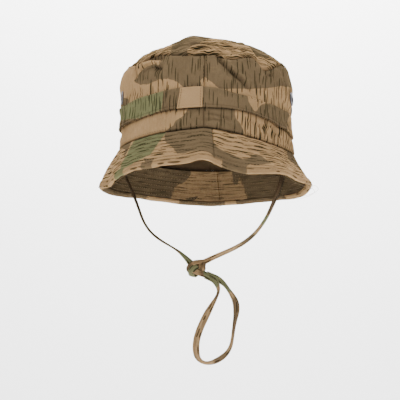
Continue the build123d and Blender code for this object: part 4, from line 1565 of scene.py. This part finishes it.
def make_knot(width, thickness):
    """The tied knot: a packed core with the strands laid over and round it."""
    bands = (
        ("wrap", knot_wrap_route(), 0.7, 1.3, (0, 0, 0),
         tape_marks(brown=((0.12, 0.3), (0.42, 0.6), (0.76, 0.9)), length=70)),
        ("tail", ((-9.6, 0, 7.2), (-6, -0.4, 4.7), (-3, -0.8, 3.2), (0, -0.8, 2)), 0.8, 1.2, (0, -1.5, 0),
         tape_marks(green=((-0.1, 1.1),), length=12)),
        ("over", ((12.6, 0.2, 9.7), (9.4, 0, 8.1), (5.6, -1.4, 6.9), (1.2, -3.6, 6.2), (-3.4, -5, 5),
                  (-7, -4.6, 2.6), (-9.4, -1.8, -0.6), (-8.6, 1.6, -3.6), (-5, 3.2, -5)),
         0.74, 1.4, (0, -0.7, 0), tape_marks(brown=((0.55, 1.1),), length=34)),
        ("lobe", ((-0.2, -3.8, 2), (-2.6, -6.2, 0.4), (-5, -6.8, -2.2), (-6.2, -5, -5.4), (-5, -1.6, -7.9),
                  (-2.6, 2, -6.8), (1, 3.4, -4)), 0.94, 1.6, (0, -0.2, 0),
         tape_marks(green=((-0.1, 1.1),), length=24)),
    )
    pieces = []
    for name, route, wide, thick, lean, marks in bands:
        band = knot_band(f"knot_{name}", route, width * wide, thickness * thick, lean, marks)
        pieces.append(finish_piece(band, "chin_strap", "strap_tape", ["strap"]))

    def on_core(first, second):
        around, up = first * 2 * math.pi, (second - 0.5) * math.pi
        lump = 1 + 0.06 * np.sin(3 * around) * np.cos(up)
        x, y, z = np.cos(around) * np.cos(up), np.sin(around) * np.cos(up), np.sin(up)
        return np.stack([8.2 * x, 3.3 * y, 5.6 * z], -1) * lump[:, None] + KNOT_CENTRE

    # The core is painted darker all over: painted shade inside the knot.
    core = cloth_mesh(
        "knot_core", 36, 18, lambda first, second: (first, second), on_core,
        lambda first, second: np.stack([first * 40, second * 16], -1),
        lambda first, second: {
            "brown": 9 + 0 * first, "green": 0 * first - 9, "worn": 0 * first, "crease": 0.4 + 0 * first},
        closed=True)
    pieces.append(finish_piece(core, "chin_strap", "strap_tape", ["strap"], "chin_strap_knot"))
    return pieces


def make_strand(key, name, body, route, twist, marks, width, thickness):
    """One stretch of the strap with its stitches, and the line that it follows."""
    line = tape_line(key, route)
    frame = tape_frame(line, twist)
    piece = tape_mesh(name, line, frame, width, thickness, marks)
    finish_piece(piece, body, "strap_tape", ["strap"], f"chin_strap_{key}")
    rows = tape_stitches(line, frame, width, thickness, 2.6)
    return piece, sew(f"strap_{key}_stitches", rows, body, 1.7, 0.32), line


def measured(line):
    """Length of a tape along its line, in metres."""
    return float(distances_along(line)[-1]) * MM


def make_strap_ends(width):
    """The strap's two sewn ends, which hang from under the sweatband."""
    for name, side in (("left", 1), ("right", -1)):

        def on_tab(y, z):
            angle = side * (90 + y / CROWN_HALF_LENGTH * 57.3)
            seam = float(seam_height(np.array([side * 90.0]))[0])
            held = crown_wall(angle, np.maximum(z, seam + 2.5), -2.25)
            x = side * np.minimum(np.abs(held[:, 0]), 85.4)
            free = smooth(-z, -6, 3)
            return np.stack([x * (1 - free) + side * 85.05 * free, y, z], -1)

        piece = cloth_mesh(
            f"strap_end_{name}", 10, 30,
            lambda first, second: ((first - 0.5) * width, -9 + 27 * second), on_tab,
            lambda y, z: np.stack([y, z], -1),
            lambda y, z: {"brown": 6 + 0 * y, "green": -6 + 0 * y, "crease": 0 * y,
                          "worn": (np.abs(y) > 0.42 * width) * 1.0})
        thicken(piece, 1.2)
        finish_piece(piece, "hat", "strap_tape", ["strap"], f"strap_anchor_{name}")


def make_strap():
    """The strap's two strands, its loop, the knot between them and the sewn ends."""
    sizes = bpy.context.scene.hat_sizes
    width, thickness = sizes.tape_width / MM, sizes.tape_thickness / MM
    right, right_stitches, right_line = make_strand(
        "right", "strap_right", "chin_strap", RIGHT_ROUTE,
        ((0, 6), (0.15, 14), (0.3, 20), (0.5, 16), (0.7, 20), (0.85, 20), (0.93, 40), (1, 66)),
        tape_marks(brown=((-0.1, 0.88),), green=((0.88, 1.1),), length=137, painted_shading=0.75), width, thickness)
    left, left_stitches, left_line = make_strand(
        "left", "strap_left", "chin_strap", LEFT_ROUTE,
        ((0, 12), (0.08, 26), (0.2, 42), (0.34, 30), (0.5, 22), (0.66, 26), (0.8, 28), (0.92, 34), (1, 42)),
        tape_marks(brown=((-0.1, 0.44), (0.6, 0.72)), green=((0.44, 0.52),), length=146, painted_shading=0.75),
        width, thickness)
    loop, loop_stitches, loop_line = make_strand(
        "loop", "strap_loop_tape", "strap_loop", LOOP_ROUTE,
        ((0, 62), (0.05, 66), (0.12, 34), (0.17, 52), (0.21, 68), (0.27, 36), (0.33, 24), (0.4, 28),
         (0.47, 44), (0.55, 26), (0.6, 66), (0.65, 84), (0.71, 88), (0.78, 75), (0.84, 42), (0.895, 24),
         (0.94, 50), (1, 64)),
        tape_marks(brown=((0.17, 0.34), (0.42, 0.5), (0.86, 0.9)), green=((-0.05, 0.14), (0.92, 1.1)),
                   length=221),
        width, thickness)
    knot = make_knot(width, thickness)
    neck = knot_band(
        "loop_neck",
        ((13.4, -0.9, -8.8), (9, -1.8, -6.9), (5, -4.5, -5.7), (1.4, -6, -4.5), (-1.8, -6.4, -3),
         (-4.6, -4.8, -1)),
        width, thickness * 1.2, (-0.6, -3.2, 2.2),
        tape_marks(brown=((0.3, 0.62),), green=((-0.1, 0.4),), length=18))
    finish_piece(neck, "strap_loop", "strap_tape", ["strap"])
    strands = (
        (right, right_line, -STRAP_EXIT, [right_stitches, *knot]),
        (left, left_line, STRAP_EXIT, [left_stitches]),
    )
    for piece, line, exit_x, with_pieces in strands:
        exit_x * MM
        measured(line)
        (line * MM).tolist()
        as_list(with_pieces)
    tuple(loop_line[0] * MM)
    measured(loop_line)
    (loop_line * MM).tolist()
    make_strap_ends(width)


def make_vents():
    """Finishes for the vents' eyelets, screens and washers, which keep their solids' shapes."""
    finishes = make_finishes()
    for _, place in VENTS:
        for kind, finish in (("eyelet", "eyelet"), ("screen", "eyelet"), ("washer", "washer")):
            node = frame["nodes"][f"vent_{kind}_{place}"]
            node.data.materials.clear()
            node.data.materials.append(finishes[finish])


# ---------------------------------------------------------------- camera, floor and light


CAMERA_PLACE = (44.24, -1367.85, -299.22)
CAMERA_AIM = (-0.0360532, 0.98322425, 0.17880222)
CAMERA_TURN = math.radians(2.1)
CAMERA_ROLL = math.radians(1.0)


def make_camera():
    """The camera, low in front of the hat and looking up at it."""
    camera = bpy.data.cameras.new("camera")
    camera.lens = 124.5
    camera.sensor_width = 36
    camera.clip_end = 50
    holder = bpy.data.objects.new("camera", camera)
    bpy.context.scene.collection.objects.link(holder)
    forward = Vector(CAMERA_AIM).normalized()
    right = Vector((math.cos(CAMERA_TURN), math.sin(CAMERA_TURN), 0))
    up = right.cross(forward)
    tilted_right = right * math.cos(CAMERA_ROLL) + up * math.sin(CAMERA_ROLL)
    tilted_up = up * math.cos(CAMERA_ROLL) - right * math.sin(CAMERA_ROLL)
    turned = Matrix((tilted_right, tilted_up, -forward)).transposed().to_4x4()
    turned.translation = Vector(CAMERA_PLACE) * MM
    holder.matrix_world = turned
    bpy.context.scene.camera = holder


def soft_light(name, place, size, power, aim=(0, 0, 0)):
    """A round area light that faces a point."""
    light = bpy.data.lights.new(name, "AREA")
    light.shape = "DISK"
    light.size = size
    light.energy = power
    holder = bpy.data.objects.new(name, light)
    bpy.context.scene.collection.objects.link(holder)
    holder.location = place
    holder.rotation_euler = (Vector(aim) - Vector(place)).to_track_quat("-Z", "Y").to_euler()


def make_sweep():
    """A pale floor that curves up into a wall behind the hat."""
    bm = bmesh.new()
    points = [bm.verts.new((-3, -2.2, -1.5)), bm.verts.new((-3, 2.2, -1.5))]
    bm.edges.new(points)
    bmesh.ops.spin(
        bm, geom=points[1:], cent=(-3, 2.2, -0.5), axis=(1, 0, 0), dvec=(0, 0, 0), angle=math.pi / 2,
        steps=16, use_merge=False, use_duplicate=False)
    last = max(bm.verts, key=lambda vert: vert.co.z)
    top = bmesh.ops.extrude_vert_indiv(bm, verts=[last])["verts"][0]
    top.co.z = 3.5
    swept = bmesh.ops.extrude_edge_only(bm, edges=bm.edges[:])["geom"]
    moved = [item for item in swept if isinstance(item, bmesh.types.BMVert)]
    bmesh.ops.translate(bm, verts=moved, vec=(6, 0, 0))
    for face in bm.faces:
        face.smooth = True
    bmesh.ops.recalc_face_normals(bm, faces=bm.faces)
    sweep = object_from(bm, "studio_sweep")
    paint = Finish("pale floor", roughness=0.9, specular=0.1)
    speck = paint.noise(paint.body_places(), 3.0)
    sweep.data.materials.append(paint.done(paint.grey((speck - 0.5) * 0.01 + 0.84)))


def make_sky():
    """Soft light from all round, dark below and white above."""
    world = bpy.data.worlds.new("studio")
    world.use_nodes = True
    tree = world.node_tree
    height = tree.nodes.new("ShaderNodeSeparateXYZ")
    tree.links.new(tree.nodes.new("ShaderNodeTexCoord").outputs["Generated"], height.inputs[0])
    share = tree.nodes.new("ShaderNodeMapRange")
    share.inputs["From Min"].default_value = -1
    tree.links.new(height.outputs["Z"], share.inputs["Value"])
    ramp = tree.nodes.new("ShaderNodeValToRGB")
    for element, position, level in zip(ramp.color_ramp.elements, (0.3, 0.62), (0.1, 1)):
        element.position = position
        element.color = (level, level, level, 1)
    tree.links.new(share.outputs["Result"], ramp.inputs["Fac"])
    tree.links.new(ramp.outputs["Color"], tree.nodes["Background"].inputs["Color"])
    tree.nodes["Background"].inputs["Strength"].default_value = 0.9
    bpy.context.scene.world = world


def make_stage():
    """The camera, the pale sweep, the sky and the soft lights."""
    make_camera()
    make_sweep()
    make_sky()
    soft_light("key", (-1.5, -2.0, 1.5), 1.0, 66)
    soft_light("fill", (2.1, -1.8, 0.7), 1.3, 42)
    soft_light("over", (0.1, 0.4, 2.4), 1.2, 9)
    soft_light("backdrop light", (0, 1.6, 3.2), 1.6, 850, aim=(0, 3.2, 0.1))


# ---------------------------------------------------------------- add-on


class HAT_OT_stage(bpy.types.Operator):
    """Set the camera, the pale sweep, the sky and the soft lights"""

    bl_idname = "hat.stage"
    bl_label = "Camera, floor and light"

    def execute(self, context):
        make_stage()
        return {"FINISHED"}


class HAT_OT_strap(bpy.types.Operator):
    """Make the two strands, the knot, the loop and the sewn ends"""

    bl_idname = "hat.strap"
    bl_label = "Chin strap"

    def execute(self, context):
        make_strap()
        return {"FINISHED"}


class HAT_OT_walls(bpy.types.Operator):
    """Make the two folded walls of the crown"""

    bl_idname = "hat.walls"
    bl_label = "Crown walls"

    def execute(self, context):
        make_crown_walls()
        return {"FINISHED"}


class HAT_OT_top(bpy.types.Operator):
    """Make the top panel"""

    bl_idname = "hat.top"
    bl_label = "Crown top"

    def execute(self, context):
        make_crown_top()
        return {"FINISHED"}


class HAT_OT_linings(bpy.types.Operator):
    """Make the sweatband and the seam tapes"""

    bl_idname = "hat.linings"
    bl_label = "Sweatband and tapes"

    def execute(self, context):
        make_linings()
        return {"FINISHED"}


class HAT_OT_band(bpy.types.Operator):
    """Make the band round the crown and its patch"""

    bl_idname = "hat.band"
    bl_label = "Band and patch"

    def execute(self, context):
        make_band()
        return {"FINISHED"}


class HAT_OT_brim(bpy.types.Operator):
    """Make the brim's two layers, its stiffener and its hem"""

    bl_idname = "hat.brim"
    bl_label = "Brim"

    def execute(self, context):
        make_brim_cloths()
        make_hem()
        return {"FINISHED"}


class HAT_OT_stitches(bpy.types.Operator):
    """Sew the rows of stitches and the bar tacks"""

    bl_idname = "hat.stitches"
    bl_label = "Stitching"

    def execute(self, context):
        sew_brim()
        sew_crown()
        sew_band()
        return {"FINISHED"}


class HAT_OT_vents(bpy.types.Operator):
    """Finish the eyelets, screens and washers"""

    bl_idname = "hat.vents"
    bl_label = "Vents"

    def execute(self, context):
        make_vents()
        return {"FINISHED"}


OPERATORS = (
    HAT_OT_stage, HAT_OT_strap, HAT_OT_walls, HAT_OT_top,
    HAT_OT_linings, HAT_OT_band, HAT_OT_brim, HAT_OT_stitches, HAT_OT_vents)


class HAT_PT_pieces(bpy.types.Panel):
    """Lists the sizes, the colours and the pieces"""

    bl_label = "Bucket hat"
    bl_space_type = "VIEW_3D"
    bl_region_type = "UI"
    bl_category = "Hat"

    def draw(self, context):
        for group in (context.scene.hat_sizes, context.scene.hat_colours):
            for key in group.bl_rna.properties.keys():
                if key not in ("rna_type", "name"):
                    self.layout.prop(group, key)
        for item in OPERATORS:
            self.layout.operator(item.bl_idname)


CLASSES = (HatSizes, HatColours, *OPERATORS, HAT_PT_pieces)


def register():
    """Adds the classes and their settings to Blender."""
    for item in CLASSES:
        bpy.utils.register_class(item)
    bpy.types.Scene.hat_sizes = bpy.props.PointerProperty(type=HatSizes)
    bpy.types.Scene.hat_colours = bpy.props.PointerProperty(type=HatColours)


def unregister():
    """Takes them out again."""
    del bpy.types.Scene.hat_colours
    del bpy.types.Scene.hat_sizes
    for item in reversed(CLASSES):
        bpy.utils.unregister_class(item)


def main():
    """Makes the hat and its stage."""
    register()
    for item in OPERATORS:
        getattr(bpy.ops.hat, item.bl_idname.split(".")[1])()
    bpy.context.view_layer.update()


if __name__ == "__main__":
    main()
